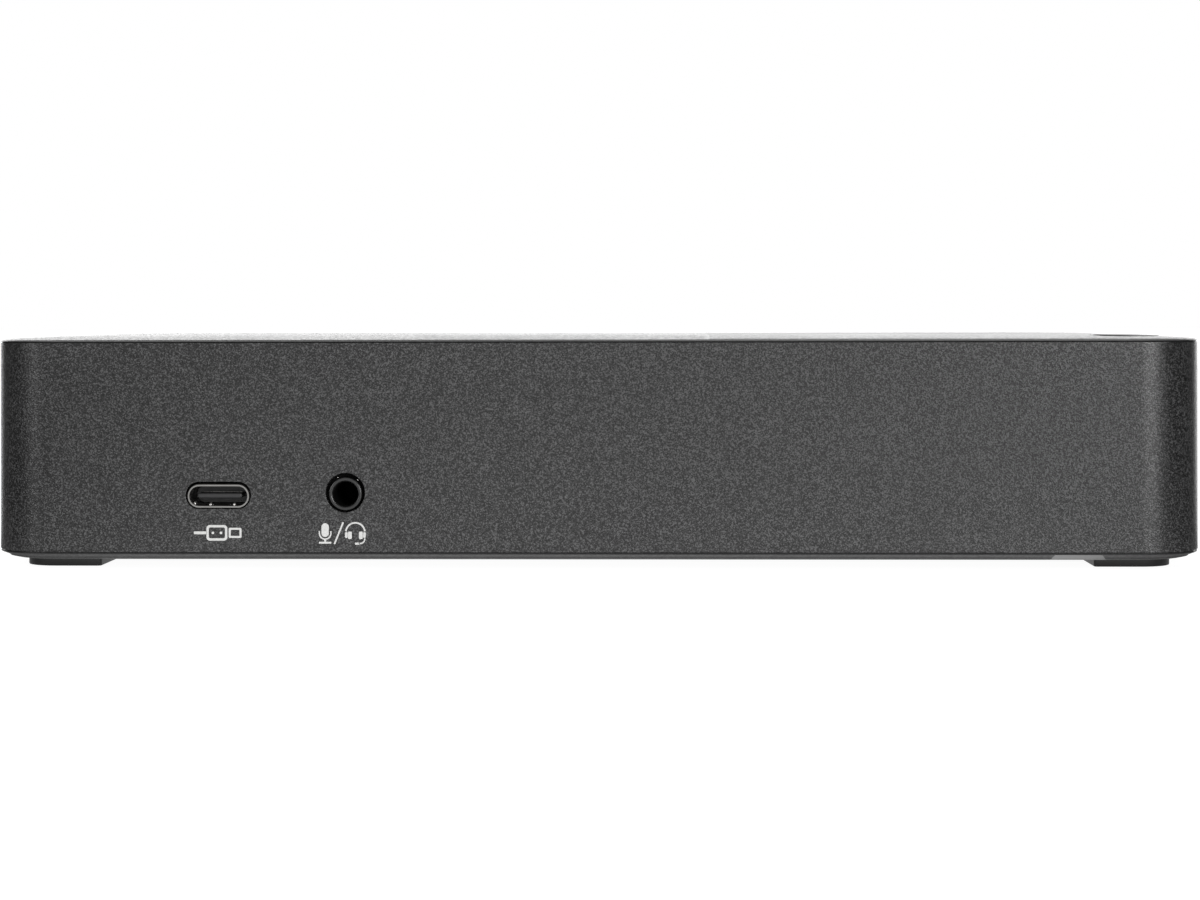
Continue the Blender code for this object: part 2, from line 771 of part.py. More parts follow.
for number, x in ((1, USB_A_1_X), (2, USB_A_2_X)):
    tube(
        f"usb_a_{number}_shell", "socket_steel",
        rounded(13.14, 5.72, 0.5, x, USB_A_Z, 2), rounded(12.5, 5.1, 0.35, x, USB_A_Z, 2),
        REAR, -1, 14.0,
    )
    tongue(
        f"usb_a_{number}_tongue", rounded(12.2, 4.8, 0.3, x, USB_A_Z, 2),
        rounded(11.1, 1.84, 0.2, x, USB_A_Z + 1.2, 2), REAR, -1, 14.0, 0.8, 2.2,
    )

# Network socket: a square body with a stepped mouth, and a comb of contacts in its roof
bm = bmesh.new()
add_plate(bm, [rounded(16.0, 13.5, 0.3, ETHERNET_X, ETHERNET_Z, 2)], REAR - 16.0, REAR, "Y")
ethernet = new_object("ethernet_body", bm, "socket_steel")


def ethernet_mouth(b):
    x, z = ETHERNET_X, ETHERNET_Z
    mouth = [
        (x - 5.9, z - 3.0), (x - 3.2, z - 3.0), (x - 3.2, z - 4.6), (x - 1.7, z - 4.6),
        (x - 1.7, z - 5.6), (x + 1.7, z - 5.6), (x + 1.7, z - 4.6), (x + 3.2, z - 4.6),
        (x + 3.2, z - 3.0), (x + 5.9, z - 3.0), (x + 5.9, z + 4.4), (x - 5.9, z + 4.4),
    ]
    add_plate(b, [mouth], REAR - 13.5, REAR + 1.0, "Y")


cut(ethernet, ethernet_mouth)
tidy(ethernet, "socket_steel", 35)
bm = bmesh.new()
comb = [(ETHERNET_X - 4.6, ETHERNET_Z + 4.25), (ETHERNET_X - 4.6, ETHERNET_Z + 3.7)]
for i in range(8):
    x = ETHERNET_X - 3.57 + i * 1.02
    comb += [(x - 0.2, ETHERNET_Z + 3.7), (x - 0.2, ETHERNET_Z + 2.9)]
    comb += [(x + 0.2, ETHERNET_Z + 2.9), (x + 0.2, ETHERNET_Z + 3.7)]
comb += [(ETHERNET_X + 4.6, ETHERNET_Z + 3.7), (ETHERNET_X + 4.6, ETHERNET_Z + 4.25)]
add_plate(bm, [comb], REAR - 12.8, REAR - 3.0, "Y")
new_object("ethernet_contacts", bm, "contact_gold")

# Power inlet: a block with a round mouth, and its centre pin
bm = bmesh.new()
add_plate(bm, [rounded(9.0, 9.4, 0.5, DC_X, DC_Z, 2)], REAR - 14.0, REAR - 3.0, "Y")
inlet = new_object("dc_inlet_body", bm, "socket_plastic")
join(inlet, lambda b: add_plate(b, [circle(DC_X, DC_Z, 4.0, 28)], REAR - 4.0, REAR, "Y"))
cut(inlet, lambda b: add_plate(b, [circle(DC_X, DC_Z, 2.85, 24)], REAR - 11.0, REAR + 1.0, "Y"))
tidy(inlet, "socket_plastic", 35)
lathe(
    "dc_inlet_pin",
    "socket_steel",
    [(0, REAR - 10.7), (1.0, REAR - 10.7), (1.0, REAR - 1.4), (0.6, REAR - 0.9), (0, REAR - 0.9)],
    DC_X,
    DC_Z,
    16,
    "Y",
)

# Headset socket: a block with a round nose in the wall's hole, a bore, and a leaf contact
bm = bmesh.new()
add_plate(bm, [rounded(6.6, 5.4, 0.5, JACK_X, JACK_Z, 2)], -37.3, -24.2, "Y")
jack = new_object("audio_jack_body", bm, "socket_plastic")


def jack_nose(b):
    profile = [(0, -39.78), (2.28, -39.78), (2.42, -39.62), (2.42, -36.5), (0, -36.5)]
    add_lathe(b, profile, JACK_X, JACK_Z, 32, "Y")


def jack_bore(b):
    profile = [(0, -40.5), (2.05, -40.5), (2.05, -39.6), (1.82, -39.3), (1.82, -25.2), (0, -25.2)]
    add_lathe(b, profile, JACK_X, JACK_Z, 28, "Y")


def jack_slot(b):
    box(b, (JACK_X - 0.8, -34.5, JACK_Z + 1.0), (JACK_X + 0.8, -28.0, JACK_Z + 3.5))


join(jack, jack_nose)
cut(jack, jack_bore)
cut(jack, jack_slot)
tidy(jack, "socket_plastic", 35)
bm = bmesh.new()
leaf = [
    (-34.2, JACK_Z + 2.55), (-28.3, JACK_Z + 2.55), (-28.3, JACK_Z + 2.25), (-29.6, JACK_Z + 2.25),
    (-30.8, JACK_Z + 1.5), (-31.4, JACK_Z + 1.5), (-32.6, JACK_Z + 2.25), (-34.2, JACK_Z + 2.25),
]
add_plate(bm, [leaf], JACK_X - 0.5, JACK_X + 0.5, "X")
new_object("audio_jack_contact", bm, "contact_gold")

# Steel plate behind the lock slot
plate(
    "lock_slot_plate",
    "socket_steel",
    [
        rounded(15.0, 9.0, 1.0, LOCK_Y, LOCK_Z, 3),
        rounded(7.0, 3.0, 0.5, LOCK_Y, LOCK_Z, 2),
    ],
    WIDTH / 2 - WALL - 1.9,
    WIDTH / 2 - WALL - 0.3,
    "X",
    35,
)
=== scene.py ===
"""The looks of the docking station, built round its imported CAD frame.

X runs to the right of someone who faces the front, Y towards the rear and Z up from the desk.
Lengths are in millimetres, except for the floor, the lights and the camera, which are in metres.
"""

import json
import math

import bmesh
import bpy
from mathutils import Matrix, Vector
from mathutils.geometry import tessellate_polygon


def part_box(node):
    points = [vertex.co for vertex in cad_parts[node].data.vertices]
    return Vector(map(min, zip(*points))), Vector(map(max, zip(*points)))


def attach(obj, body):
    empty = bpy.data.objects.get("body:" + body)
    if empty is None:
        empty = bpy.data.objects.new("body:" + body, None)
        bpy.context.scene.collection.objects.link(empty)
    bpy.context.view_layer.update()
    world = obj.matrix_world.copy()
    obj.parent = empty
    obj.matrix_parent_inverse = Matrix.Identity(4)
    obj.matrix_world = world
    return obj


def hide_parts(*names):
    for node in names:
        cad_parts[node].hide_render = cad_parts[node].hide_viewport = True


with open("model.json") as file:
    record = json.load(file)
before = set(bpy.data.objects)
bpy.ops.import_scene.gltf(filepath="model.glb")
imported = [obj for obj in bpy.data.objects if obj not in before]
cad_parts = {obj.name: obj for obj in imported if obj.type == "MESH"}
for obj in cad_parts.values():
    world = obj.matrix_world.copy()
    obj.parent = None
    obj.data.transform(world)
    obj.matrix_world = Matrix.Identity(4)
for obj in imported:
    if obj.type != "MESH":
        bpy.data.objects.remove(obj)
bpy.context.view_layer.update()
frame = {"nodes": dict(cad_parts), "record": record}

MM = 0.001
BODY = "case"
LOW, HIGH = (corner * 1000 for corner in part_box("main_housing"))
HALF_W, HALF_D = HIGH.x, HIGH.y
FRONT, REAR = -HALF_D, HALF_D
CORNER_R, WALL = 10.0, 2.2
SEAM_HIGH, WALL_TOP = LOW.z, HIGH.z
SEAM_LOW = 2.27  # top of the base pan's outer edge
PAN_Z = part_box("bottom_cover")[0].z * 1000  # underside of the base pan
TOP_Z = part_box("top_cover")[1].z * 1000
LID_EDGE = 33.53  # underside of the lid's outer edge
LID_EDGE_TOP = 33.6  # the smooth look of the lid begins above this height
CEILING_Z = 32.4  # underside of the lid's middle
LIP_OUT, LIP_IN = 2.5, 3.7  # insets of the lips that stand inside the walls


def middle(node):
    """The middle of a CAD node's box, in millimetres."""
    low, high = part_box(node)
    return (low + high) * 500


# ---- Materials --------------------------------------------------------------------------------


def node(tree, kind, inputs=None, **settings):
    made = tree.nodes.new(kind)
    for key, value in settings.items():
        setattr(made, key, value)
    for key, value in (inputs or {}).items():
        if isinstance(value, bpy.types.NodeSocket):
            tree.links.new(value, made.inputs[key])
        else:
            made.inputs[key].default_value = value
    return made


def maths(tree, operation, a, b):
    return node(tree, "ShaderNodeMath", {0: a, 1: b}, operation=operation).outputs["Value"]


def span(tree, value, start, end, low, high, **settings):
    """Takes start to end onto low to high, and goes no further on either side."""
    return node(
        tree, "ShaderNodeMapRange",
        {"Value": value, "From Min": start, "From Max": end, "To Min": low, "To Max": high},
        **settings,
    ).outputs["Result"]


def bump(tree, height, depth, strength=1.0, **under):
    """depth is in millimetres, and under may hold the Normal that this one lies on."""
    return node(
        tree, "ShaderNodeBump",
        {"Height": height, "Distance": depth * MM, "Strength": strength, **under},
    ).outputs["Normal"]


def ramp(tree, fac, stops):
    """A colour ramp of (position, colour)."""
    made = node(tree, "ShaderNodeValToRGB", {"Fac": fac})
    elements = made.color_ramp.elements
    while len(elements) > 1:
        elements.remove(elements[-1])
    for i, (at, colour) in enumerate(stops):
        element = elements[0] if i == 0 else elements.new(at)
        element.position = at
        element.color = (*colour, 1.0)
    return made.outputs["Color"]


def times(colour, k):
    return tuple(min(1.0, c * k) for c in colour)


def noise(tree, at, scale, detail=2.0, rough=0.5, stretch=None):
    if stretch:
        at = node(tree, "ShaderNodeMapping", {"Vector": at, "Scale": stretch}).outputs["Vector"]
    return node(
        tree, "ShaderNodeTexNoise",
        {"Vector": at, "Scale": scale, "Detail": detail, "Roughness": rough},
    ).outputs["Fac"]


def new_material(name):
    made = bpy.data.materials.new(name)
    made.use_nodes = True
    tree = made.node_tree
    shader = tree.nodes["Principled BSDF"]
    at = node(tree, "ShaderNodeTexCoord").outputs["Object"]
    return made, tree, shader, at


def surface(
    name, colour, rough, *, metallic=0.0, vary, grain, depth, rough_vary=0.08, mottle=60.0,
    stretch=None, spec=0.5,
):
    """Fine grain in colour and bump, and slow mottling in roughness.

    grain and mottle are noise scales per metre, depth is the bump in millimetres, and vary and
    rough_vary say how far the colour and the roughness go to either side.
    """
    made, tree, shader, at = new_material(name)
    fine = noise(tree, at, grain, 2.5, 0.55, stretch)
    slow = noise(tree, at, mottle, 3.0, 0.5)
    mean = maths(tree, "MULTIPLY", maths(tree, "ADD", fine, slow), 0.5)
    tint = ramp(tree, mean, [(0.38, times(colour, 1 - vary)), (0.62, times(colour, 1 + vary))])
    gloss = span(tree, slow, 0.3, 0.7, rough - rough_vary, rough + rough_vary)
    tree.links.new(tint, shader.inputs["Base Color"])
    tree.links.new(gloss, shader.inputs["Roughness"])
    tree.links.new(bump(tree, fine, depth), shader.inputs["Normal"])
    shader.inputs["Metallic"].default_value = metallic
    shader.inputs["Specular IOR Level"].default_value = spec
    return made


def grained_plastic(name, colour, rough, *, pit, depth, dark, light, spec=0.5):
    """Spark-eroded moulded plastic: close rounded pits, with specks that are lighter or darker.

    pit is the number of pits in a millimetre and depth their bump in millimetres. dark and light
    are the darkest and the lightest specks, as multiples of the colour.
    """
    made, tree, shader, at = new_material(name)
    cells = node(
        tree, "ShaderNodeTexVoronoi", {"Vector": at, "Scale": 1000 * pit, "Randomness": 1.0},
        feature="SMOOTH_F1",
    )
    speck = node(
        tree, "ShaderNodeSeparateColor", {"Color": cells.outputs["Color"]}
    ).outputs["Red"]
    cloud = noise(tree, at, 760.0 * pit, 1.0, 0.5)
    slow = noise(tree, at, 22.0, 2.0, 0.5)
    mixed = node(
        tree, "ShaderNodeMix", {"Factor": 0.45, "A": speck, "B": cloud}
    ).outputs["Result"]
    tint = ramp(
        tree, mixed,
        [(0.3, times(colour, dark)), (0.5, colour), (0.68, times(colour, light))],
    )
    gloss = node(tree, "ShaderNodeMix", {"Factor": 0.3, "A": mixed, "B": slow}).outputs["Result"]
    pits = bump(tree, cells.outputs["Distance"], depth)
    relief = bump(tree, cloud, depth * 0.8, Normal=pits)
    tree.links.new(tint, shader.inputs["Base Color"])
    tree.links.new(
        span(tree, gloss, 0.3, 0.7, rough + 0.08, rough - 0.08), shader.inputs["Roughness"]
    )
    tree.links.new(relief, shader.inputs["Normal"])
    shader.inputs["Specular IOR Level"].default_value = spec
    return made


def board_material(name):
    """Solder mask over a grid of faint copper tracks."""
    made, tree, shader, at = new_material(name)
    mask = noise(tree, at, 300.0, 2.0)
    tracks = node(
        tree, "ShaderNodeTexBrick",
        {"Vector": at, "Scale": 420.0, "Mortar Size": 0.08, "Bias": 0.0,
         "Color1": (0.012, 0.09, 0.045, 1), "Color2": (0.016, 0.115, 0.058, 1),
         "Mortar": (0.03, 0.2, 0.1, 1)},
    )
    tree.links.new(tracks.outputs["Color"], shader.inputs["Base Color"])
    tree.links.new(span(tree, mask, 0.0, 1.0, 0.3, 0.45), shader.inputs["Roughness"])
    relief = bump(tree, tracks.outputs["Fac"], 0.03, 0.6)
    tree.links.new(relief, shader.inputs["Normal"])
    return made


DRAWN = (1.0, 0.15, 1.0)  # stretches the grain along Y, the way the shells were drawn
EXTRUDED = (1.0, 0.03, 1.0)
M = {
    "case_plastic": grained_plastic(
        "case_plastic_look", (0.024, 0.024, 0.0243), 0.33,
        pit=6.8, depth=0.018, dark=0.02, light=4.0,
    ),
    "lid_plastic": grained_plastic(
        "lid_plastic_look", (0.03, 0.03, 0.0303), 0.36, pit=4.0, depth=0.008, dark=0.85, light=1.2,
    ),
    "lid_smooth": grained_plastic(
        "lid_smooth_look", (0.03, 0.03, 0.0303), 0.42,
        pit=4.0, depth=0.013, dark=0.85, light=1.2, spec=0.45,
    ),
    "cover_plastic": grained_plastic(
        "cover_plastic_look", (0.03, 0.03, 0.0303), 0.4, pit=3.6, depth=0.012, dark=0.8, light=1.25,
    ),
    # Light grey for the base's downward pry-notch facet: a painted reflection of the white floor
    # under it, on the same plastic as the base.
    "facet": surface(
        "smooth_facet_look", (0.2, 0.2, 0.2), 0.35, vary=0.08, grain=2500, depth=0.004
    ),
    "foot_rubber": surface(
        "foot_rubber_look", (0.011, 0.011, 0.011), 0.2,
        vary=0.3, grain=1400, depth=0.005, rough_vary=0.06,
    ),
    "button_plastic": surface(
        "button_look", (0.02, 0.02, 0.021), 0.3, vary=0.15, grain=3500, depth=0.006, rough_vary=0.05
    ),
    "socket_plastic": surface(
        "socket_plastic_look", (0.012, 0.012, 0.0125), 0.38, vary=0.2, grain=2600, depth=0.01
    ),
    "tongue_plastic": surface(
        "tongue_plastic_look", (0.028, 0.028, 0.029), 0.35, vary=0.15, grain=2600, depth=0.006
    ),
    "usb_tongue": surface(
        "usb_tongue_look", (0.012, 0.03, 0.12), 0.4, vary=0.15, grain=2600, depth=0.008
    ),
    # Near black with little specular: painted shade for the inside of the headset socket's bore and
    # for the disc behind the gap round the socket.
    "painted_shade_black": surface(
        "painted_shade_look", (0.003, 0.003, 0.003), 0.7, vary=0.3, grain=2000, depth=0.006, spec=0.15
    ),
    "jack_plastic": surface(
        "jack_plastic_look", (0.02, 0.02, 0.02), 0.3, vary=0.15, grain=2000, depth=0.006
    ),
    "socket_steel": surface(
        "socket_steel_look", (0.62, 0.61, 0.595), 0.24, metallic=1.0,
        vary=0.06, grain=900, depth=0.002, rough_vary=0.06, mottle=300, stretch=DRAWN,
    ),
    "shield_nickel": surface(
        "shield_nickel_look", (0.3, 0.295, 0.285), 0.34, metallic=1.0,
        vary=0.06, grain=900, depth=0.003, rough_vary=0.06, mottle=300, stretch=DRAWN,
    ),
    "contact_gold": surface(
        "contact_gold_look", (0.83, 0.6, 0.25), 0.25, metallic=1.0,
        vary=0.08, grain=1500, depth=0.003,
    ),
    "board_green": board_material("board_look"),
    "chip_black": surface(
        "chip_look", (0.022, 0.022, 0.024), 0.5, vary=0.25, grain=5000, depth=0.008
    ),
    "pad_grey": surface(
        "thermal_pad_look", (0.4, 0.43, 0.48), 0.8, vary=0.12, grain=2500, depth=0.03
    ),
    "sink_aluminium": surface(
        "heat_sink_look", (0.74, 0.75, 0.76), 0.32, metallic=1.0,
        vary=0.05, grain=1600, depth=0.006, mottle=200, stretch=EXTRUDED,
    ),
    "inductor_grey": surface(
        "inductor_look", (0.14, 0.14, 0.15), 0.7, vary=0.25, grain=4000, depth=0.03
    ),
    "capacitor_can": surface(
        "capacitor_look", (0.62, 0.62, 0.64), 0.3, metallic=1.0, vary=0.05, grain=1200, depth=0.004
    ),
    "screw_steel": surface(
        "screw_look", (0.5, 0.5, 0.52), 0.32, metallic=1.0, vary=0.08, grain=1800, depth=0.006
    ),
    "flex_tan": surface(
        "ribbon_look", (0.5, 0.27, 0.09), 0.4, vary=0.1, grain=700, depth=0.004,
        rough_vary=0.05, mottle=90, stretch=(0.05, 1.0, 0.05),
    ),
    "led_white": surface(
        "led_look", (0.86, 0.86, 0.82), 0.35, vary=0.05, grain=1500, depth=0.004
    ),
    "lamp_amber": surface(
        "lamp_amber_look", (0.55, 0.3, 0.05), 0.3, vary=0.08, grain=1500, depth=0.004
    ),
    "lamp_green": surface(
        "lamp_green_look", (0.1, 0.4, 0.1), 0.3, vary=0.08, grain=1500, depth=0.004
    ),
    "print": surface(
        "print_white_look", (0.62, 0.62, 0.61), 0.6,
        vary=0.1, grain=3000, depth=0.004, rough_vary=0.05,
    ),
}

# ---- Mesh helpers -----------------------------------------------------------------------------


def shade(mesh, degrees):
    for face in mesh.polygons:
        face.use_smooth = True
    mesh.set_sharp_from_angle(angle=math.radians(degrees))


def finish_mesh(name, bm, look, smooth=35.0):
    bmesh.ops.remove_doubles(bm, verts=bm.verts, dist=1e-7)
    bmesh.ops.recalc_face_normals(bm, faces=bm.faces)
    if bm.calc_volume(signed=True) < 0:
        bmesh.ops.reverse_faces(bm, faces=bm.faces)
    mesh = bpy.data.meshes.new(name)
    bm.to_mesh(mesh)
    bm.free()
    made = bpy.data.objects.new(name, mesh)
    bpy.context.scene.collection.objects.link(made)
    if look:
        mesh.materials.append(M[look])
    shade(mesh, smooth)
    return made


def place(obj, nodes=(), body=BODY):
    """Puts a finished piece on its body, and hides the CAD nodes that it stands in for."""
    if nodes:
        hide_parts(*nodes)
    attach(obj, body)
    return obj


def arc(cx, cy, radius, start, end, steps):
    out = []
    for i in range(steps + 1):
        a = math.radians(start + (end - start) * i / steps)
        out.append((cx + radius * math.cos(a), cy + radius * math.sin(a)))
    return out


def rounded(width, height, radius, cx=0.0, cy=0.0, steps=6, radii=None):
    out = []
    for i, (sx, sy, turn) in enumerate(((1, 1, 0), (-1, 1, 90), (-1, -1, 180), (1, -1, 270))):
        r = max(radii[i] if radii else radius, 1e-3)
        out += arc(cx + sx * (width / 2 - r), cy + sy * (height / 2 - r), r, turn, turn + 90, steps)
    return out


def grown(size, radius, cx, cy, grow, steps):
    """A rounded rectangle, grown by the same distance all round."""
    width, height = size
    return rounded(width + 2 * grow, height + 2 * grow, radius + grow, cx, cy, steps)


def circle(cx, cy, radius, steps=48):
    return arc(cx, cy, radius, 0, 360 - 360 / steps, steps - 1)


AXES = {
    "Z": lambda u, v, w: (u, v, w),
    "Y": lambda u, v, w: (u, w, v),
    "X": lambda u, v, w: (w, u, v),
}


def add_plate(bm, loops, low, high, plane="Z"):
    put = AXES[plane]
    flat = [p for loop in loops for p in loop]
    ends = [[bm.verts.new(Vector(put(u, v, w)) * MM) for u, v in flat] for w in (low, high)]
    if len(loops) == 1:
        faces = [range(len(flat))]
    else:
        faces = tessellate_polygon([[Vector((u, v, 0)) for u, v in loop] for loop in loops])
    for verts in ends:
        for face in faces:
            bm.faces.new([verts[i] for i in face])
    start = 0
    for loop in loops:
        n = len(loop)
        for i in range(n):
            a, b = start + i, start + (i + 1) % n
            bm.faces.new((ends[0][a], ends[0][b], ends[1][b], ends[1][a]))
        start += n


def add_stack(bm, loops, closed=False, plane="Z"):
    """Skins loops of equal length, each (points, w). Closed joins the last to the first."""
    put = AXES[plane]
    rings = [[bm.verts.new(Vector(put(u, v, w)) * MM) for u, v in pts] for pts, w in loops]
    pairs = list(zip(rings, rings[1:])) + ([(rings[-1], rings[0])] if closed else [])
    n = len(rings[0])
    for a, b in pairs:
        for i in range(n):
            j = (i + 1) % n
            bm.faces.new((a[i], a[j], b[j], b[i]))
    if not closed:
        bm.faces.new(rings[0])
        bm.faces.new(rings[-1])


def add_lathe(bm, profile, cx, cy, steps=48, plane="Z"):
    put = AXES[plane]
    rings = []
    for radius, w in profile:
        pts = circle(cx, cy, radius, steps) if radius else [(cx, cy)]
        rings.append([bm.verts.new(Vector(put(u, v, w)) * MM) for u, v in pts])
    for a, b in zip(rings, rings[1:]):
        for i in range(steps):
            j = (i + 1) % steps
            face = list(dict.fromkeys((a[i % len(a)], a[j % len(a)], b[j % len(b)], b[i % len(b)])))
            if len(face) > 2:
                bm.faces.new(face)


def boolean(obj, build, operation="DIFFERENCE"):
    """Cuts or joins to an object, for good, the shape that build puts into an empty mesh."""
    bm = bmesh.new()
    build(bm)
    tool = finish_mesh(obj.name + "_tool", bm, None)
    modifier = obj.modifiers.new("b", "BOOLEAN")
    modifier.operation, modifier.solver, modifier.object = operation, "EXACT", tool
    graph = bpy.context.evaluated_depsgraph_get()
    graph.update()
    done = bpy.data.meshes.new_from_object(obj.evaluated_get(graph))
    obj.modifiers.clear()
    looks = list(obj.data.materials)
    obj.data = done
    done.materials.clear()
    for look in looks:
        done.materials.append(look)
    tool_mesh = tool.data
    bpy.data.objects.remove(tool)
    bpy.data.meshes.remove(tool_mesh)


def clean(obj, smooth):
    bm = bmesh.new()
    bm.from_mesh(obj.data)
    bmesh.ops.remove_doubles(bm, verts=bm.verts, dist=2e-6)
    for face in bm.faces:
        face.material_index = 0
    bmesh.ops.triangulate(bm, faces=[f for f in bm.faces if len(f.verts) > 4])
    bm.to_mesh(obj.data)
    bm.free()
    shade(obj.data, smooth)


def flatten(obj):
    """Shades large faces flat and keeps the smooth shading to the small bevels beside them."""
    modifier = obj.modifiers.new("large_faces_first", "WEIGHTED_NORMAL")
    modifier.keep_sharp = True


def soften(obj, width, segments=2, angle=40):
    """Rounds the edges of a small hard piece."""
    modifier = obj.modifiers.new("edges", "BEVEL")
    modifier.width = width * MM
    modifier.segments = segments
    modifier.limit_method = "ANGLE"
    modifier.angle_limit = math.radians(angle)
    modifier.harden_normals = False
    return obj


def case_loop(inset, z, steps=22):
    radius = max(CORNER_R - inset, 0.6)
    return rounded(2 * (HALF_W - inset), 2 * (HALF_D - inset), radius, steps=steps), z


# ---- Case -------------------------------------------------------------------------------------

USB_C, JACK = middle("front_usb_c_shell"), middle("audio_jack_body")
HOST, DC = middle("host_usb_c_shell"), middle("dc_inlet_pin")
HDMI = [middle("hdmi_1_shell"), middle("hdmi_2_shell")]
USB_A = [middle("usb_a_1_shell"), middle("usb_a_2_shell")]
DISPLAY, ETHERNET = middle("displayport_shell"), middle("ethernet_body")
LOCK = middle("lock_slot_plate")
JACK_Z = JACK.z - 0.12  # the headset socket sits a little low in its hole
# Outer sizes of the metal shells, and sizes of the contact blades in them: (width, height)
USB_C_SHELL, USB_C_BLADE = (8.94, 3.26), (6.6, 0.7)
HDMI_BLADE, DISPLAY_BLADE, USB_A_BLADE = (10.8, 1.1), (12.4, 1.2), (11.1, 1.84)
USB_A_SHELL, ETHERNET_BODY = (13.14, 5.72), (16.0, 13.5)
FRONT_SWELL = 0.13  # the front USB-C shell is that much bigger all round, as the photo shows it
# Sizes of the holes in the walls
FRONT_USB_C_HOLE, HOST_USB_C_HOLE, USB_A_HOLE = (9.66, 3.98), (9.24, 3.6), (13.6, 6.2)
ETHERNET_HOLE, LOCK_HOLE = (16.5, 14.0), (7.0, 3.0)
JACK_HOLE_R, DC_HOLE_R, DISPLAY_HOLE_GAP = 2.9, 4.25, 0.3


def slot_shape(width, height, cx, cz, grow=0.0, steps=10):
    r = (height / 2 + grow) * 0.98
    return rounded(width + 2 * grow, height + 2 * grow, r, cx, cz, steps)


def hdmi_shape(cx, cz, grow=0.0):
    w, h = 7.5 + grow, 2.8 + grow
    return [
        (cx + w, cz + h), (cx - w, cz + h), (cx - w, cz - h + 1.9), (cx - w + 1.9, cz - h),
        (cx + w - 1.9, cz - h), (cx + w, cz - h + 1.9),
    ]


def display_shape(cx, cz, grow=0.0):
    w, h = 8.4 + grow, 2.85 + grow
    return [
        (cx + w, cz + h), (cx - w, cz + h), (cx - w, cz - h), (cx + w - 2.2, cz - h),
        (cx + w, cz - h + 2.2),
    ]


def wall_hole(bm, shape, outer, inward, mouth=0.14):
    """A hole through a wall, with a small bevel round its mouth. shape(grow) is its outline."""
    levels = [
        (mouth + 0.6, -0.6), (mouth, 0.0), (mouth * 0.35, mouth * 0.3), (0.0, mouth),
        (0.0, WALL + 1),
    ]
    add_stack(bm, [(shape(grow), outer + inward * d) for grow, d in levels], plane="Y")


def front_holes(bm):
    x, z = USB_C.x, USB_C.z + 0.13
    wall_hole(bm, lambda g: slot_shape(*FRONT_USB_C_HOLE, x, z, g), FRONT, 1, 0.1)
    wall_hole(bm, lambda g: circle(JACK.x, JACK.z + 0.08, JACK_HOLE_R + g, 56), FRONT, 1, 0.1)


def rear_holes(bm):
    def panel(at, size, radius):
        return lambda g: grown(size, radius, at.x, at.z, g, 4)

    gap = DISPLAY_HOLE_GAP
    wall_hole(bm, lambda g: slot_shape(*HOST_USB_C_HOLE, HOST.x, HOST.z, g), REAR, -1)
    for at in HDMI:
        wall_hole(bm, lambda g: hdmi_shape(at.x, at.z, gap + g), REAR, -1)
    wall_hole(bm, lambda g: display_shape(DISPLAY.x, DISPLAY.z, gap + g), REAR, -1)
    wall_hole(bm, panel(ETHERNET, ETHERNET_HOLE, 0.4), REAR, -1)
    for at in USB_A:
        wall_hole(bm, panel(at, USB_A_HOLE, 0.5), REAR, -1)
    wall_hole(bm, lambda g: circle(DC.x, DC.z, DC_HOLE_R + g, 48), REAR, -1)


def lock_hole(bm):
    levels = [(0.7, 0.6), (0.15, 0.0), (0.0, -0.15), (0.0, -WALL - 1)]
    loops = [(grown(LOCK_HOLE, 0.5, LOCK.y, LOCK.z, g, 4), HALF_W + d) for g, d in levels]
    add_stack(bm, loops, plane="X")


def build_housing():
    bm = bmesh.new()
    add_stack(
        bm,
        [
            case_loop(0.15, SEAM_HIGH), case_loop(0.04, SEAM_HIGH + 0.04),
            case_loop(0.0, SEAM_HIGH + 0.15), case_loop(0.0, 12.0), case_loop(0.0, 24.0),
            case_loop(0.0, WALL_TOP - 0.15), case_loop(0.04, WALL_TOP - 0.04),
            case_loop(0.15, WALL_TOP), case_loop(WALL, WALL_TOP), case_loop(WALL, SEAM_HIGH),
        ],
        closed=True,
    )
    shell = finish_mesh("housing_shell", bm, "case_plastic", 30)
    boolean(shell, front_holes)
    boolean(shell, rear_holes)
    boolean(shell, lock_hole)
    clean(shell, 30)
    flatten(shell)
    place(shell, ["main_housing"])


build_housing()

PITCH, RIDGE_DEPTH, RIDGE_STEPS = 2.57, 0.11, 6  # pitch along X, and cuts in each pitch
RIDGE_RIGHT, RIDGE_FADE = 17.0, 0.8  # where the ridges end, and the length that they fade over
BORDER_Z = 33.82  # only faces above this height are cut for the ridges
RIDGE_START_Z = 33.88  # the ridges begin at this height on the lid's rounded border
BUTTON_HOLE_R = 5.28
LID_PROFILE = [  # (inset, height) up the border and over the crown
    (0.0, 33.56), (0.05, 33.62), (0.13, 33.68), (0.25, 33.745), (0.45, 33.81), (0.75, 33.87),
    (1.1, 33.92), (1.6, 33.97), (2.4, 34.02), (3.2, 34.06), (4.3, 34.115), (5.5, 34.165),
    (7.2, 34.225), (9.0, 34.275), (11.0, 34.32), (13.0, 34.355), (15.5, 34.385), (18.0, TOP_Z),
]
BUTTON = middle("power_button")


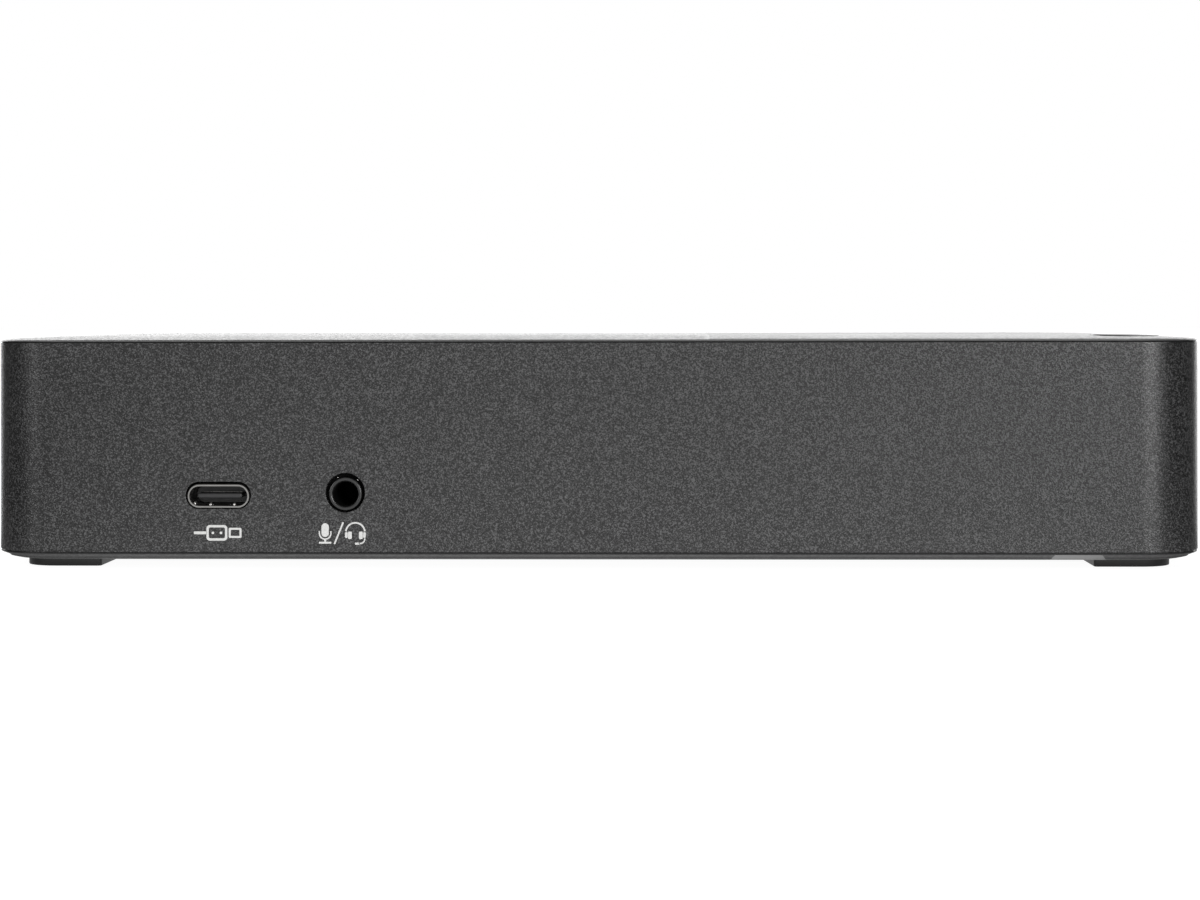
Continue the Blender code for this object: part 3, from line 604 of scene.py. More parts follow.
def build_lid():
    bm = bmesh.new()
    under = [
        case_loop(LIP_IN, CEILING_Z), case_loop(LIP_IN, 30.9), case_loop(LIP_OUT, 30.9),
        case_loop(LIP_OUT, WALL_TOP + 0.01), case_loop(0.26, WALL_TOP + 0.01),
        case_loop(0.18, LID_EDGE), case_loop(0.04, LID_EDGE),
    ]
    add_stack(bm, under + [case_loop(inset, z) for inset, z in LID_PROFILE])
    lid = finish_mesh("lid_panel", bm, "lid_plastic", 30)

    def hole(b):
        r = BUTTON_HOLE_R
        profile = [(0, 35.2), (r + 1.0, 35.2), (r + 0.2, TOP_Z), (r + 0.06, TOP_Z - 0.06),
                   (r, TOP_Z - 0.2), (r, 31.5), (0, 31.5)]
        add_lathe(b, profile, BUTTON.x, BUTTON.y, 64)

    boolean(lid, hole)
    bm = bmesh.new()
    bm.from_mesh(lid.data)
    bmesh.ops.remove_doubles(bm, verts=bm.verts, dist=1e-6)

    def cut(geom, point, normal):
        return bmesh.ops.bisect_plane(
            bm, geom=geom, dist=1e-7, plane_co=Vector(point) * MM, plane_no=normal
        )["geom"]

    def upper(limit):
        faces = [
            f for f in bm.faces
            if f.calc_center_median().z > BORDER_Z * MM and f.normal.z > 0.3
            and max(v.co.x for v in f.verts) < limit * MM
        ]
        edges = {e for f in faces for e in f.edges}
        verts = {v for f in faces for v in f.verts}
        return list(faces) + list(edges) + list(verts)

    top = upper(1e6)
    top = cut(top, (RIDGE_RIGHT, 0, 0), (1, 0, 0))
    cut(top, (RIDGE_RIGHT - RIDGE_FADE, 0, 0), (1, 0, 0))
    geom = upper(RIDGE_RIGHT + 0.01)
    normal = Vector((1, 1, 0)).normalized()
    first = -math.ceil((HALF_W + HALF_D) / PITCH)
    last = math.ceil((RIDGE_RIGHT + HALF_D) / PITCH)
    for k in range(first * RIDGE_STEPS, last * RIDGE_STEPS + 1):
        geom = cut(geom, (k * PITCH / RIDGE_STEPS, 0, 0), normal)
    moved = {v for f in geom if isinstance(f, bmesh.types.BMFace) for v in f.verts}
    for vert in moved:
        x, y, z = vert.co / MM
        phase = (x + y) / PITCH * 2 * math.pi
        wave = (0.5 - 0.5 * math.cos(phase)) ** 0.8
        risen = min(1.0, max(0.0, (z - RIDGE_START_Z) / 0.1))
        faded = min(1.0, max(0.0, (RIDGE_RIGHT - x) / RIDGE_FADE))
        vert.co.z -= RIDGE_DEPTH * wave * (risen * faded) * MM
    for face in bm.faces:
        face.material_index = 0
    bmesh.ops.triangulate(bm, faces=[f for f in bm.faces if len(f.verts) > 4])
    bm.to_mesh(lid.data)
    bm.free()
    shade(lid.data, 32)
    lid.data.materials.append(M["lid_smooth"])
    for face in lid.data.polygons:
        if face.center.z > LID_EDGE_TOP * MM and face.center.x > RIDGE_RIGHT * MM:
            face.material_index = 1
    for edge in lid.data.edges:
        a, b = (lid.data.vertices[i].co / MM for i in edge.vertices)
        if max(abs(a.x - RIDGE_RIGHT), abs(b.x - RIDGE_RIGHT)) < 0.01:
            edge.use_edge_sharp = True
    flatten(lid)
    place(lid, ["top_cover"])


build_lid()

FEET = {
    name: middle(name)
    for name in ("foot_front_left", "foot_front_right", "foot_rear_left", "foot_rear_right")
}


FOOT_W, FOOT_D = 11.9, 20.0
FOOT_OUTER_R, FOOT_INNER_R = 5.0, 0.6  # at the case's own corner, and at the other three corners


def foot_outline(at, grow=0.0, steps=8):
    sx, sy = (1 if at.x > 0 else -1), (1 if at.y > 0 else -1)
    radii = [
        (FOOT_OUTER_R if (cx == sx and cy == sy) else FOOT_INNER_R) + grow
        for cx, cy in ((1, 1), (-1, 1), (-1, -1), (1, -1))
    ]
    return rounded(FOOT_W + 2 * grow, FOOT_D + 2 * grow, 0.0, at.x, at.y, steps, radii)


SCREWS = [middle(f"board_screw_{i + 1}") for i in range(4)]
VENT, VENT_R, VENT_PITCH, VENTS_A_SIDE = (1.6, 26), 0.78, 6.0, 6
# The pry notch in the front bevel: the ends of its facet, its depth and the tilt of its normal.
# These pick out the facet's faces that get the light grey of painted reflection.
NOTCH_LEFT, NOTCH_RIGHT, NOTCH_DEPTH, NOTCH_TILT = 66.8, 75.6, 3.1, -0.34


def build_base():
    bm = bmesh.new()
    add_stack(
        bm,
        [
            case_loop(3.4, PAN_Z), case_loop(2.9, PAN_Z + 0.02), case_loop(2.4, PAN_Z + 0.09),
            case_loop(1.46, 1.50), case_loop(1.36, 1.60), case_loop(1.27, 1.70),
            case_loop(0.16, 2.12), case_loop(0.08, 2.18), case_loop(0.12, SEAM_LOW),
            case_loop(0.32, SEAM_LOW), case_loop(0.4, SEAM_HIGH - 0.01),
            case_loop(LIP_OUT, SEAM_HIGH - 0.01), case_loop(LIP_OUT, 4.6), case_loop(LIP_IN, 4.6),
            case_loop(LIP_IN, 3.2),
        ],
    )
    base = finish_mesh("base_pan", bm, "cover_plastic", 30)

    def posts(b):
        for at in FEET.values():
            add_plate(b, [circle(at.x, at.y, 3.7, 28)], 2.6, 6.9)
        for at in SCREWS:
            add_plate(b, [circle(at.x, at.y, 2.5, 24)], 2.6, 7.0)

    def pockets(b):
        for at in FEET.values():
            add_plate(b, [foot_outline(at, 0.25)], 0.0, 2.1)

    def bores(b):
        profile = [(0, 1.6), (2.75, 1.6), (2.75, 4.2), (1.5, 4.2), (1.5, 8.0), (0, 8.0)]
        for at in FEET.values():
            add_lathe(b, profile, at.x, at.y, 28)
        for at in SCREWS:
            add_plate(b, [circle(at.x, at.y, 1.2, 20)], 3.6, 8.0)

    def vents(b):
        levels = [(0.8, 0.5), (0.2, PAN_Z - 0.001), (0.0, PAN_Z + 0.25), (0.0, 4.0)]
        for i in range(-VENTS_A_SIDE, VENTS_A_SIDE + 1):
            if i:
                add_stack(b, [(grown(VENT, VENT_R, i * VENT_PITCH, 0, g, 5), z) for g, z in levels])

    def notch(b):
        section = [(-1.0, 2.16), (0.28, 2.16), (3.05, 1.16), (3.05, 0.4), (-1.0, 0.4)]
        ends = ((67.2, 74.9), (67.5, 74.4), (66.9, 75.5), (66.9, 75.5), (67.2, 74.9))
        sides = []
        for pick in (0, 1):
            side = [
                b.verts.new(Vector((ends[i][pick], FRONT + inset, z)) * MM)
                for i, (inset, z) in enumerate(section)
            ]
            sides.append(side)
            b.faces.new(side)
        for i in range(len(section)):
            j = (i + 1) % len(section)
            b.faces.new((sides[0][i], sides[0][j], sides[1][j], sides[1][i]))
        bmesh.ops.triangulate(b, faces=b.faces)

    boolean(base, posts, "UNION")
    boolean(base, pockets)
    boolean(base, bores)
    boolean(base, vents)
    boolean(base, notch)
    clean(base, 30)
    # The notch's facet gets the light grey of painted reflection.
    base.data.materials.append(M["facet"])
    for face in base.data.polygons:
        at = face.center / MM
        inside = NOTCH_LEFT < at.x < NOTCH_RIGHT and at.y < FRONT + NOTCH_DEPTH
        if inside and abs(face.normal.y - NOTCH_TILT) < 0.02:
            face.material_index = 1
    flatten(base)
    place(base, ["bottom_cover"])


build_base()

for name, at in FEET.items():
    bm = bmesh.new()
    levels = [
        (-0.2, 0.0), (-0.09, 0.02), (-0.03, 0.07), (0.0, 0.16), (0.0, 1.35), (0.0, 1.8),
    ]
    add_stack(bm, [(foot_outline(at, g, 12), z) for g, z in levels])
    place(finish_mesh(name + "_pad", bm, "foot_rubber", 50), [name])

# ---- Power button -----------------------------------------------------------------------------

bm = bmesh.new()
add_lathe(
    bm,
    [
        (0, 30.2), (1.5, 30.2), (1.5, 31.0), (5.9, 31.0), (5.9, 32.05), (5.0, 32.05),
        (5.0, 34.24), (4.97, 34.34), (4.91, 34.39), (4.8, 34.41), (4.4, 34.4), (4.1, 34.36),
        (3.8, 34.29), (3.4, 34.23), (2.4, 34.18), (1.2, 34.165), (0, 34.16),
    ],
    BUTTON.x, BUTTON.y, 72,
)
LEAN_X, LEAN_Y = 0.017, 0.013  # the cap's face leans with the lid's crown
for vert in bm.verts:
    x, y, z = vert.co / MM
    if z > 34.0:
        vert.co.z += (LEAN_Y * (y - BUTTON.y) - LEAN_X * (x - BUTTON.x)) * MM
place(finish_mesh("power_button_cap", bm, "button_plastic", 28),
      ["power_button"], "power_button")

# ---- Sockets ----------------------------------------------------------------------------------


def tube(name, shape, walls, face_y, inward, depth, look="socket_steel"):
    """A drawn steel shell with rolled lips. shape(grow) is its outer outline."""
    bm = bmesh.new()
    lip = 0.08
    levels = [
        (-lip, 0.0), (0.0, lip), (0.0, depth), (-walls, depth), (-walls, lip * 1.6),
        (-walls + lip, 0.0),
    ]
    add_stack(
        bm, [(shape(g), face_y + inward * d) for g, d in levels], closed=True, plane="Y"
    )
    return finish_mesh(name, bm, look, 35)


def blade(name, plug, outline, face_y, inward, depth, start, plug_depth, look="socket_plastic"):
    """The insulator: a plug that fills the shell's rear, and the contact blade on it."""
    bm = bmesh.new()
    rear = face_y + inward * depth
    ends = sorted((rear, rear - inward * plug_depth))
    add_plate(bm, [plug], *ends, "Y")
    made = finish_mesh(name, bm, look)

    def add(b):
        nose = [(-0.18, 0.0), (-0.05, 0.06), (0.0, 0.2), (0.0, depth - start - plug_depth / 2)]
        add_stack(
            b, [(outline(g), face_y + inward * (start + d)) for g, d in nose], plane="Y"
        )

    boolean(made, add, "UNION")
    clean(made, 30)
    return made


def contacts(
    name, cx, z, count, pitch, width, face_y, inward, start, length, thick=0.05, look="contact_gold"
):
    """A row of gold contacts lying on a blade, joined by a hidden strip at their rear."""
    half, back = pitch * (count - 1) / 2, 0.5
    outline = [(cx - half - width / 2, start + length + back)]
    for i in range(count):
        x = cx - half + i * pitch
        outline += [(x - width / 2, start + length), (x - width / 2, start)]
        outline += [(x + width / 2, start), (x + width / 2, start + length)]
    outline.append((cx + half + width / 2, start + length + back))
    bm = bmesh.new()
    add_plate(bm, [[(u, face_y + inward * v) for u, v in outline]], z, z + thick)
    return finish_mesh(name, bm, look)


def usb_c(label, at, face_y, inward, reach, metal, plating, swell):
    """A USB-C socket. reach is how far behind the shell's mouth the contacts start."""
    x, z = at.x, at.z
    depth = 7.4

    def outer(grow):
        return slot_shape(*USB_C_SHELL, x, z, grow + swell, 12)

    shell = tube(label + "_socket_shell", outer, 0.3 + swell / 2, face_y, inward, depth, metal)
    place(shell, [label + "_shell"])
    made = blade(
        label + "_socket_tongue", slot_shape(8.34, 2.66, x, z, -0.05, 10),
        lambda g: grown(USB_C_BLADE, 0.25, x, z, g, 4),
        face_y, inward, depth, start=1.3, plug_depth=1.5, look="tongue_plastic",
    )
    place(made, [label + "_tongue"])
    for side, height in (("upper", z + 0.355), ("lower", z - 0.405)):
        row = contacts(
            f"{label}_contacts_{side}", x, height, 12, 0.5, 0.26, face_y, inward,
            start=reach, length=5.0 - reach, look=plating,
        )
        place(row)
    dimple = Vector((0.36, 0.6, 0.38)) * MM
    for i, (dx, dz) in enumerate(((-3.6, -1.15), (-1.26, -1.33), (2.27, -1.33))):
        bm = bmesh.new()
        bmesh.ops.create_uvsphere(bm, u_segments=20, v_segments=12, radius=1.0)
        centre = Vector((x + dx, face_y + inward * 1.1, z + dz)) * MM
        bm.transform(Matrix.Translation(centre) @ Matrix.Diagonal((*dimple, 1.0)))
        place(finish_mesh(f"{label}_spring_dimple_{i + 1}", bm, "socket_steel", 80))


IN = REAR - 0.2  # the rear sockets' mouths
usb_c("front_usb_c", USB_C, FRONT + 0.1, 1, 4.3, "shield_nickel", "shield_nickel", FRONT_SWELL)
usb_c("host_usb_c", HOST, IN, -1, 2.4, "socket_steel", "contact_gold", 0.0)

for number, at in enumerate(HDMI, 1):
    depth = 11.5
    shell = tube(
        f"hdmi_{number}_socket_shell", lambda g, at=at: hdmi_shape(at.x, at.z, g), 0.4,
        IN, -1, depth,
    )
    place(soften(shell, 0.07, 2, 30), [f"hdmi_{number}_shell"])
    made = blade(
        f"hdmi_{number}_socket_tongue", hdmi_shape(at.x, at.z, -0.5),
        lambda g, at=at: grown(HDMI_BLADE, 0.25, at.x, at.z + 0.35, g, 3),
        IN, -1, depth, start=1.2, plug_depth=2.0,
    )
    place(made, [f"hdmi_{number}_tongue"])
    for side, z, n in (("upper", at.z + 0.905, 10), ("lower", at.z - 0.255, 9)):
        row = contacts(
            f"hdmi_{number}_contacts_{side}", at.x, z, n, 1.0, 0.4, IN, -1, start=1.8, length=6.5
        )
        place(row)

depth = 13.0
shell = tube(
    "displayport_socket_shell", lambda g: display_shape(DISPLAY.x, DISPLAY.z, g), 0.4,
    IN, -1, depth,
)
place(soften(shell, 0.07, 2, 30), ["displayport_shell"])
made = blade(
    "displayport_socket_tongue", display_shape(DISPLAY.x, DISPLAY.z, -0.5),
    lambda g: grown(DISPLAY_BLADE, 0.25, DISPLAY.x, DISPLAY.z + 0.6, g, 3),
    IN, -1, depth, start=1.4, plug_depth=2.0,
)
place(made, ["displayport_tongue"])
row = contacts(
    "displayport_contacts", DISPLAY.x, DISPLAY.z - 0.055, 10, 1.1, 0.45, IN, -1,
    start=2.0, length=7.0,
)
place(row)

for number, at in enumerate(USB_A, 1):
    depth = 14.0
    shell = tube(
        f"usb_a_{number}_socket_shell",
        lambda g, at=at: grown(USB_A_SHELL, 0.5, at.x, at.z, g, 5), 0.31, IN, -1, depth,
    )
    place(shell, [f"usb_a_{number}_shell"])
    made = blade(
        f"usb_a_{number}_socket_tongue", rounded(12.4, 5.0, 0.3, at.x, at.z, 3),
        lambda g, at=at: grown(USB_A_BLADE, 0.3, at.x, at.z + 1.2, g, 3),
        IN, -1, depth, start=0.8, plug_depth=2.2, look="usb_tongue",
    )
    place(made, [f"usb_a_{number}_tongue"])
    row = contacts(
        f"usb_a_{number}_contacts", at.x, at.z + 0.225, 4, 2.3, 1.1, IN, -1, start=1.6, length=7.5
    )
    place(row)
    section = [
        (IN - 2.0, at.z - 2.5), (IN - 8.5, at.z - 2.5), (IN - 7.0, at.z - 2.42),
        (IN - 3.6, at.z - 1.95), (IN - 3.0, at.z - 1.95),
    ]
    for i, dx in enumerate((-3.0, 3.0)):
        bm = bmesh.new()
        add_plate(bm, [section], at.x + dx - 0.9, at.x + dx + 0.9, "X")
        spring = finish_mesh(f"usb_a_{number}_spring_{i + 1}", bm, "socket_steel")
        place(soften(spring, 0.06))

# Network socket: shielded body with a stepped mouth, two lamp windows and a comb of contacts
x, z = ETHERNET.x, ETHERNET.z
bm = bmesh.new()
levels = ((0.0, IN - 16.0), (0.0, IN - 0.2), (-0.06, IN - 0.06), (-0.2, IN))
add_stack(bm, [(grown(ETHERNET_BODY, 0.4, x, z, g, 4), y) for g, y in levels], plane="Y")
body = finish_mesh("ethernet_socket_body", bm, "shield_nickel", 35)


def ethernet_mouth(b):
    def mouth(g):
        """A plug's outline: wide for the plug, with two steps below for its latch."""
        right = [
            (1.7 + g, -5.6 - g), (1.7 + g, -4.6 - g), (3.2 + g, -4.6 - g), (3.2 + g, -3.0 - g),
            (5.9 + g, -3.0 - g), (5.9 + g, 4.4 + g),
        ]
        left = [(-u, v) for u, v in right[::-1]]
        turned = left[1:] + right + left[:1]
        return [(x + u, z + v) for u, v in turned]

    levels = ((0.0, IN - 13.5), (0.0, IN - 0.3), (0.2, IN + 0.1))
    add_stack(b, [(mouth(g), y) for g, y in levels], plane="Y")


boolean(body, ethernet_mouth)
clean(body, 35)
place(body, ["ethernet_body"])

bm = bmesh.new()
back = [(x - 5.7, z - 2.9), (x + 5.7, z - 2.9), (x + 5.7, z + 4.2), (x - 5.7, z + 4.2)]
add_stack(bm, [(back, y) for y in (IN - 13.3, IN - 12.9)], plane="Y")
place(soften(finish_mesh("ethernet_socket_back", bm, "socket_plastic"), 0.05))

bm = bmesh.new()
comb = [(x - 4.6, z + 4.25), (x - 4.6, z + 3.9)]
for i in range(8):
    left, right = (x - 3.57 + i * 1.02 + half for half in (-0.2, 0.2))
    comb += [(left, z + 3.9), (left, z + 2.9), (right, z + 2.9), (right, z + 3.9)]
comb += [(x + 4.6, z + 3.9), (x + 4.6, z + 4.25)]
add_plate(bm, [comb], IN - 12.6, IN - 3.0, "Y")
place(
    finish_mesh("ethernet_socket_contacts", bm, "contact_gold"),
    ["ethernet_contacts"],
)

levels = ((0.0, IN - 0.3), (0.0, IN + 0.02), (-0.1, IN + 0.08))
for look, dx in (("lamp_amber", -6.4), ("lamp_green", 6.4)):
    bm = bmesh.new()
    windows = [
        (rounded(1.9 + 2 * g, 2.6 + 2 * g, 0.3, x + dx, z - 4.9, 4), y) for g, y in levels
    ]
    add_stack(bm, windows, plane="Y")
    place(finish_mesh(f"ethernet_{look}", bm, look))

# Power inlet
x, z = DC.x, DC.z
bm = bmesh.new()
add_lathe(
    bm,
    [
        (0, IN - 13.9), (4.4, IN - 13.9), (4.4, IN - 3.2), (4.0, IN - 3.0), (4.0, IN - 0.15),
        (3.92, IN - 0.03), (3.8, IN), (3.15, IN), (2.95, IN - 0.08), (2.85, IN - 0.3),
        (2.85, IN - 11.0), (0, IN - 11.0),
    ],
    x, z, 56, "Y",
)
place(finish_mesh("dc_inlet_socket", bm, "jack_plastic", 35), ["dc_inlet_body"])
bm = bmesh.new()
add_lathe(
    bm,
    [(0, IN - 10.7), (1.0, IN - 10.7), (1.0, IN - 1.7), (0.93, IN - 1.35), (0.72, IN - 1.05),
     (0.4, IN - 0.93), (0, IN - 0.9)],
    x, z, 36, "Y",
)
place(finish_mesh("dc_inlet_centre_pin", bm, "socket_steel", 50), ["dc_inlet_pin"])

# Headset socket
x, z, face = JACK.x, JACK_Z, FRONT
BARREL_R, BORE_R, BORE_MOUTH_R = 2.62, 1.80, 1.95
bm = bmesh.new()
add_lathe(
    bm,
    [
        (0, -24.4), (BARREL_R, -24.4), (BARREL_R, -37.3), (2.42, -37.4), (2.42, face + 0.36),
        (2.38, face + 0.26), (2.28, face + 0.2), (2.12, face + 0.2), (2.0, face + 0.25),
        (1.88, face + 0.42), (1.82, face + 0.75), (BORE_R, face + 3.0), (BORE_R, -25.2),
        (0, -25.2),
    ],
    x, z, 72, "Y",
)
made = finish_mesh("headset_socket", bm, "jack_plastic", 32)
# Past its mouth, the bore's inside is painted near black: painted shade in the recess.
made.data.materials.append(M["painted_shade_black"])
for side in made.data.polygons:
    at = side.center / MM
    if at.y > face + 0.45 and math.hypot(at.x - x, at.z - z) < BORE_MOUTH_R:
        side.material_index = 1
place(made, ["audio_jack_body"])

# A near-black disc of painted shade sits behind the gap round the socket.
bm = bmesh.new()  # hides the inside of the case behind the gap round the socket
section = [(2.46, -37.45), (2.46, -37.7), (4.2, -37.7), (4.2, -37.45), (2.46, -37.45)]
add_lathe(bm, section, x, z, 56, "Y")
place(finish_mesh("headset_socket_shade_disc", bm, "painted_shade_black"))

for i, (turn, size) in enumerate(((48.0, 0.2), (118.0, 0.13))):
    a = math.radians(turn)
    bm = bmesh.new()
    bmesh.ops.create_uvsphere(bm, u_segments=14, v_segments=8, radius=size * MM)
    centre = Vector((x + BARREL_R * math.cos(a), face + 1.1, z + 0.1 + BARREL_R * math.sin(a)))
    bm.transform(Matrix.Translation(centre * MM))
    place(finish_mesh(f"headset_socket_solder_tab_{i + 1}", bm, "socket_steel", 80))

# ---- Printed pictograms -----------------------------------------------------------------------

INK_LOW, INK_HIGH = FRONT - 0.012, FRONT + 0.02


def printed(name, *shapes):
    """Each shape is a list of loops: its outline, and the outlines of its holes."""
    bm = bmesh.new()
    for loops in shapes:
        add_plate(bm, loops, INK_LOW, INK_HIGH, "Y")
    place(finish_mesh(name, bm, "print", 30))


def stroke(points, width):
    """An outline round a line of points, with square ends."""
    left, right = [], []
    for i, (px, pz) in enumerate(points):
        ax, az = points[max(i - 1, 0)]
        bx, bz = points[min(i + 1, len(points) - 1)]
        length = math.hypot(bx - ax, bz - az)
        nx, nz = -(bz - az) / length * width / 2, (bx - ax) / length * width / 2
        left.append((px + nx, pz + nz))
        right.append((px - nx, pz - nz))
    return left + right[::-1]


# Plug: a lead, a grip and a connector shell, lying on its side
px, pz = -55.6, 5.35
grip, mouth = px - 0.15, px + 2.55
printed("print_plug_lead", [stroke([(px - 3.55, pz), (px - 1.75, pz)], 0.42)])
printed(
    "print_plug_grip",
    [rounded(3.1, 2.3, 0.5, grip, pz, 5), rounded(2.4, 1.6, 0.25, grip, pz, 5)],
)
printed(
    "print_plug_shell",
    [rounded(1.9, 1.5, 0.2, mouth, pz, 4), rounded(1.3, 0.9, 0.08, mouth, pz, 4)],
)
printed("print_plug_dots", [circle(px - 0.75, pz, 0.2, 16)], [circle(px + 0.45, pz, 0.2, 16)])

# Microphone, a slanting stroke, and a headset
mx, mz = -39.72, 5.28
yoke = arc(mx, mz, 0.85, 180, 360, 20)
yoke = [(mx - 0.85, mz + 0.34)] + yoke + [(mx + 0.85, mz + 0.34)]
printed("print_microphone_capsule", [rounded(1.08, 2.02, 0.53, mx, mz + 0.49, 10)])
printed("print_microphone_yoke", [stroke(yoke, 0.2)])
printed("print_microphone_stand", [stroke([(mx, mz - 0.94), (mx, mz - 1.23)], 0.26)])
printed("print_microphone_foot", [stroke([(mx - 0.92, mz - 1.37), (mx + 0.92, mz - 1.37)], 0.27)])
printed("print_stroke", [stroke([(-38.35, 3.72), (-37.05, 6.92)], 0.25)])
hx, hz = -35.25, 5.43
boom = arc(hx + 0.68, hz - 0.92, 0.72, -6, -84, 10)
boom = [(hx + 1.42, hz - 0.9)] + boom + [(hx + 0.5, hz - 1.64)]
printed("print_headset_band", [stroke(arc(hx, hz, 1.41, 6, 174, 32), 0.24)])
for side, sign in (("left", -1), ("right", 1)):
    pad, cup = hx + sign * 0.81, hx + sign * 1.34
    printed(f"print_headset_pad_{side}", [rounded(0.56, 1.1, 0.16, pad, hz - 0.43, 5)])
    printed(f"print_headset_cup_{side}", [rounded(0.4, 0.86, 0.18, cup, hz - 0.4, 5)])
printed("print_headset_boom", [stroke(boom, 0.2)])
printed("print_headset_tip", [rounded(0.74, 0.32, 0.14, hx + 0.3, hz - 1.66, 5)])

# ---- CAD nodes that stay ----------------------------------------------------------------------

slot_of = {row["node"]: row["material_slot"] for row in frame["record"]["subparts"]}
for name, obj in frame["nodes"].items():
    if not obj.hide_render:
        obj.data.materials.clear()
        obj.data.materials.append(M[slot_of[name]])
        if name.startswith(("capacitor", "board_screw", "cover_screw", "ribbon", "switch")):
            shade(obj.data, 35)

# ---- Floor, light and camera: metres from here on -----------------------------------------------

WHITE = (1, 1, 1, 1)
FLOOR_HALF = 6.0
bm = bmesh.new()
bmesh.ops.create_grid(bm, x_segments=4, y_segments=4, size=FLOOR_HALF)
mesh = bpy.data.meshes.new("floor")
bm.to_mesh(mesh)
bm.free()
floor = bpy.data.objects.new("floor", mesh)
bpy.context.scene.collection.objects.link(floor)

made, tree, shader, at = new_material("floor_look")
shader.inputs["Base Color"].default_value = (0.14, 0.14, 0.14, 1)
shader.inputs["Roughness"].default_value = 0.9
shader.inputs["Specular IOR Level"].default_value = 0.1
shader.inputs["Emission Color"].default_value = WHITE
apart = node(tree, "ShaderNodeSeparateXYZ", {"Vector": at})
back = apart.outputs["Y"]
side = node(tree, "ShaderNodeMath", {0: apart.outputs["X"]}, operation="ABSOLUTE").outputs["Value"]

# What the object sees: a white floor ahead of it and behind it, and little beside or under it
AHEAD_GLOW, BEHIND_GLOW, CAMERA_GLOW = 0.92, 1.7, 0.96
ahead = maths(
    tree, "MULTIPLY",
    span(tree, side, 0.068, 0.118, AHEAD_GLOW, 0.02), span(tree, back, -0.04, -0.034, 1.0, 0.4),
)
spread = maths(tree, "ADD", maths(tree, "MULTIPLY", back, 0.8), 0.118)
wedge = span(tree, maths(tree, "SUBTRACT", spread, side), 0.0, 0.03, 0.0, 1.0)
beside = maths(
    tree, "MULTIPLY",
    span(tree, side, 0.09, 0.096, 0.0, 1.0), span(tree, back, -0.01, 0.02, 0.0, 1.0),
)
rearward = span(tree, back, 0.045, 0.08, 0.0, 1.0)
behind = maths(tree, "MULTIPLY", wedge, maths(tree, "MAXIMUM", beside, rearward))
behind = maths(tree, "MULTIPLY", behind, BEHIND_GLOW)
ahead = maths(tree, "MULTIPLY", ahead, span(tree, back, 0.03, 0.045, 1.0, 0.0))
near = maths(tree, "ADD", ahead, behind)
seen = node(tree, "ShaderNodeLightPath").outputs["Is Camera Ray"]
glow = node(
    tree, "ShaderNodeMix", {"Factor": seen, "A": near, "B": CAMERA_GLOW}
).outputs["Result"]
tree.links.new(glow, shader.inputs["Emission Strength"])
# From below the floor isn't there, so that the underside can be seen
under = node(tree, "ShaderNodeNewGeometry").outputs["Backfacing"]
clear = node(tree, "ShaderNodeMixShader", {0: under})
tree.links.new(shader.outputs[0], clear.inputs[1])
tree.links.new(node(tree, "ShaderNodeBsdfTransparent").outputs[0], clear.inputs[2])
tree.links.new(clear.outputs[0], tree.nodes["Material Output"].inputs["Surface"])
mesh.materials.append(made)

world = bpy.data.worlds.new("studio")
bpy.context.scene.world = world
world.use_nodes = True
tree = world.node_tree
tree.nodes.clear()
direction = node(tree, "ShaderNodeTexCoord").outputs["Generated"]
parts = node(tree, "ShaderNodeSeparateXYZ", {"Vector": direction})


def lobe(axis, start, full, strength, turn=1.0):
    """Light from the part of the studio that lies along an axis."""
    value = maths(tree, "MULTIPLY", parts.outputs[axis], turn)
    return span(tree, value, start, full, 0.0, strength, interpolation_type="SMOOTHSTEP")


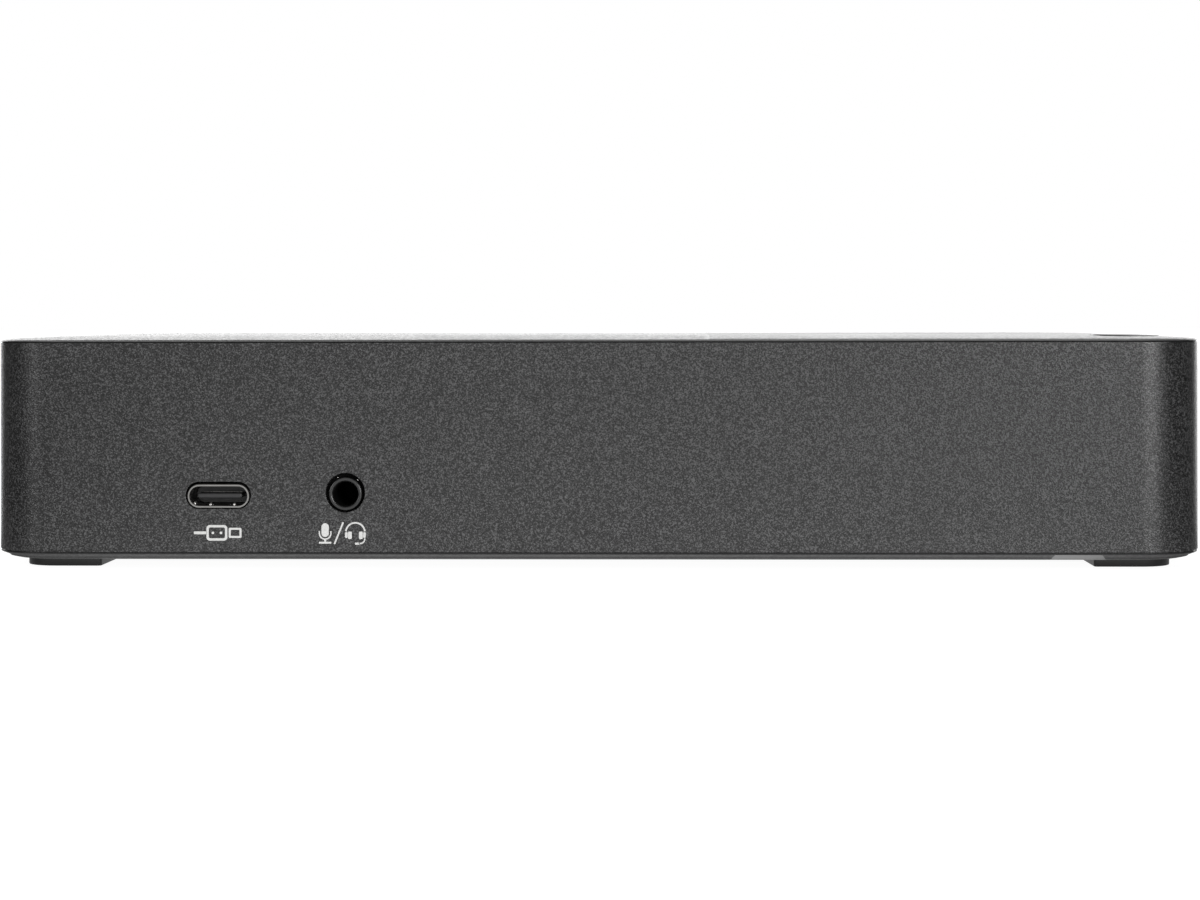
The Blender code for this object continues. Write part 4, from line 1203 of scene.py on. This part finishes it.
# A bright wall behind the object that fades upwards, a weaker one in front, and a weak ceiling
AMBIENT = 0.06
lofty = span(tree, parts.outputs["Z"], 0.2, 0.5, 1.0, 0.4)
total = maths(tree, "MULTIPLY", lobe("Y", 0.72, 0.84, 3.6), lofty)
for part in (lobe("Y", 0.7, 0.97, 1.0, -1.0), lobe("Z", 0.5, 0.9, 0.8)):
    total = maths(tree, "ADD", total, part)
strength = maths(tree, "ADD", total, AMBIENT)
lights = node(tree, "ShaderNodeBackground", {"Color": WHITE, "Strength": strength})
seen = node(tree, "ShaderNodeBackground", {"Color": WHITE, "Strength": 1.0})
is_camera = node(tree, "ShaderNodeLightPath").outputs["Is Camera Ray"]
mixed = node(tree, "ShaderNodeMixShader", {0: is_camera})
tree.links.new(lights.outputs[0], mixed.inputs[1])
tree.links.new(seen.outputs[0], mixed.inputs[2])
output = node(tree, "ShaderNodeOutputWorld")
tree.links.new(mixed.outputs[0], output.inputs["Surface"])


def area(name, at, target, size, watts):
    data = bpy.data.lights.new(name, "AREA")
    data.shape = "RECTANGLE"
    data.size, data.size_y = size
    data.energy = watts
    made = bpy.data.objects.new(name, data)
    made.location = at
    made.rotation_euler = (Vector(target) - Vector(at)).to_track_quat("-Z", "Y").to_euler()
    bpy.context.scene.collection.objects.link(made)


area("key", at=(0.52, -0.88, 0.2), target=(0.05, 0, 0.015), size=(0.42, 0.36), watts=4.0)
area("fill", at=(-0.85, -0.72, 0.3), target=(-0.05, 0, 0.015), size=(0.2, 0.5), watts=2.2)
area("top", at=(0.0, 0.1, 1.0), target=(0, 0, 0.02), size=(0.8, 0.6), watts=2.0)

# The photo is taken square on from just above the top, and cropped below its middle
EYE_DISTANCE, EYE_HEIGHT, YAW, ROLL = 0.400, 0.0375, 1.51, -0.08
camera = bpy.data.cameras.new("camera")
camera.sensor_width = 36.0
camera.lens = 81.62
camera.shift_x = 0.0012
camera.shift_y = -0.1129
camera.clip_start, camera.clip_end = 0.01, 50.0
eye = bpy.data.objects.new("camera", camera)
bpy.context.scene.collection.objects.link(eye)
eye.location = (0.0112, FRONT * MM - EYE_DISTANCE, EYE_HEIGHT)
eye.rotation_euler = (
    Matrix.Rotation(math.radians(YAW), 3, "Z") @ Matrix.Rotation(math.radians(90), 3, "X")
    @ Matrix.Rotation(math.radians(ROLL), 3, "Z")
).to_euler()
bpy.context.scene.camera = eye
bpy.context.scene.view_settings.view_transform = "Standard"
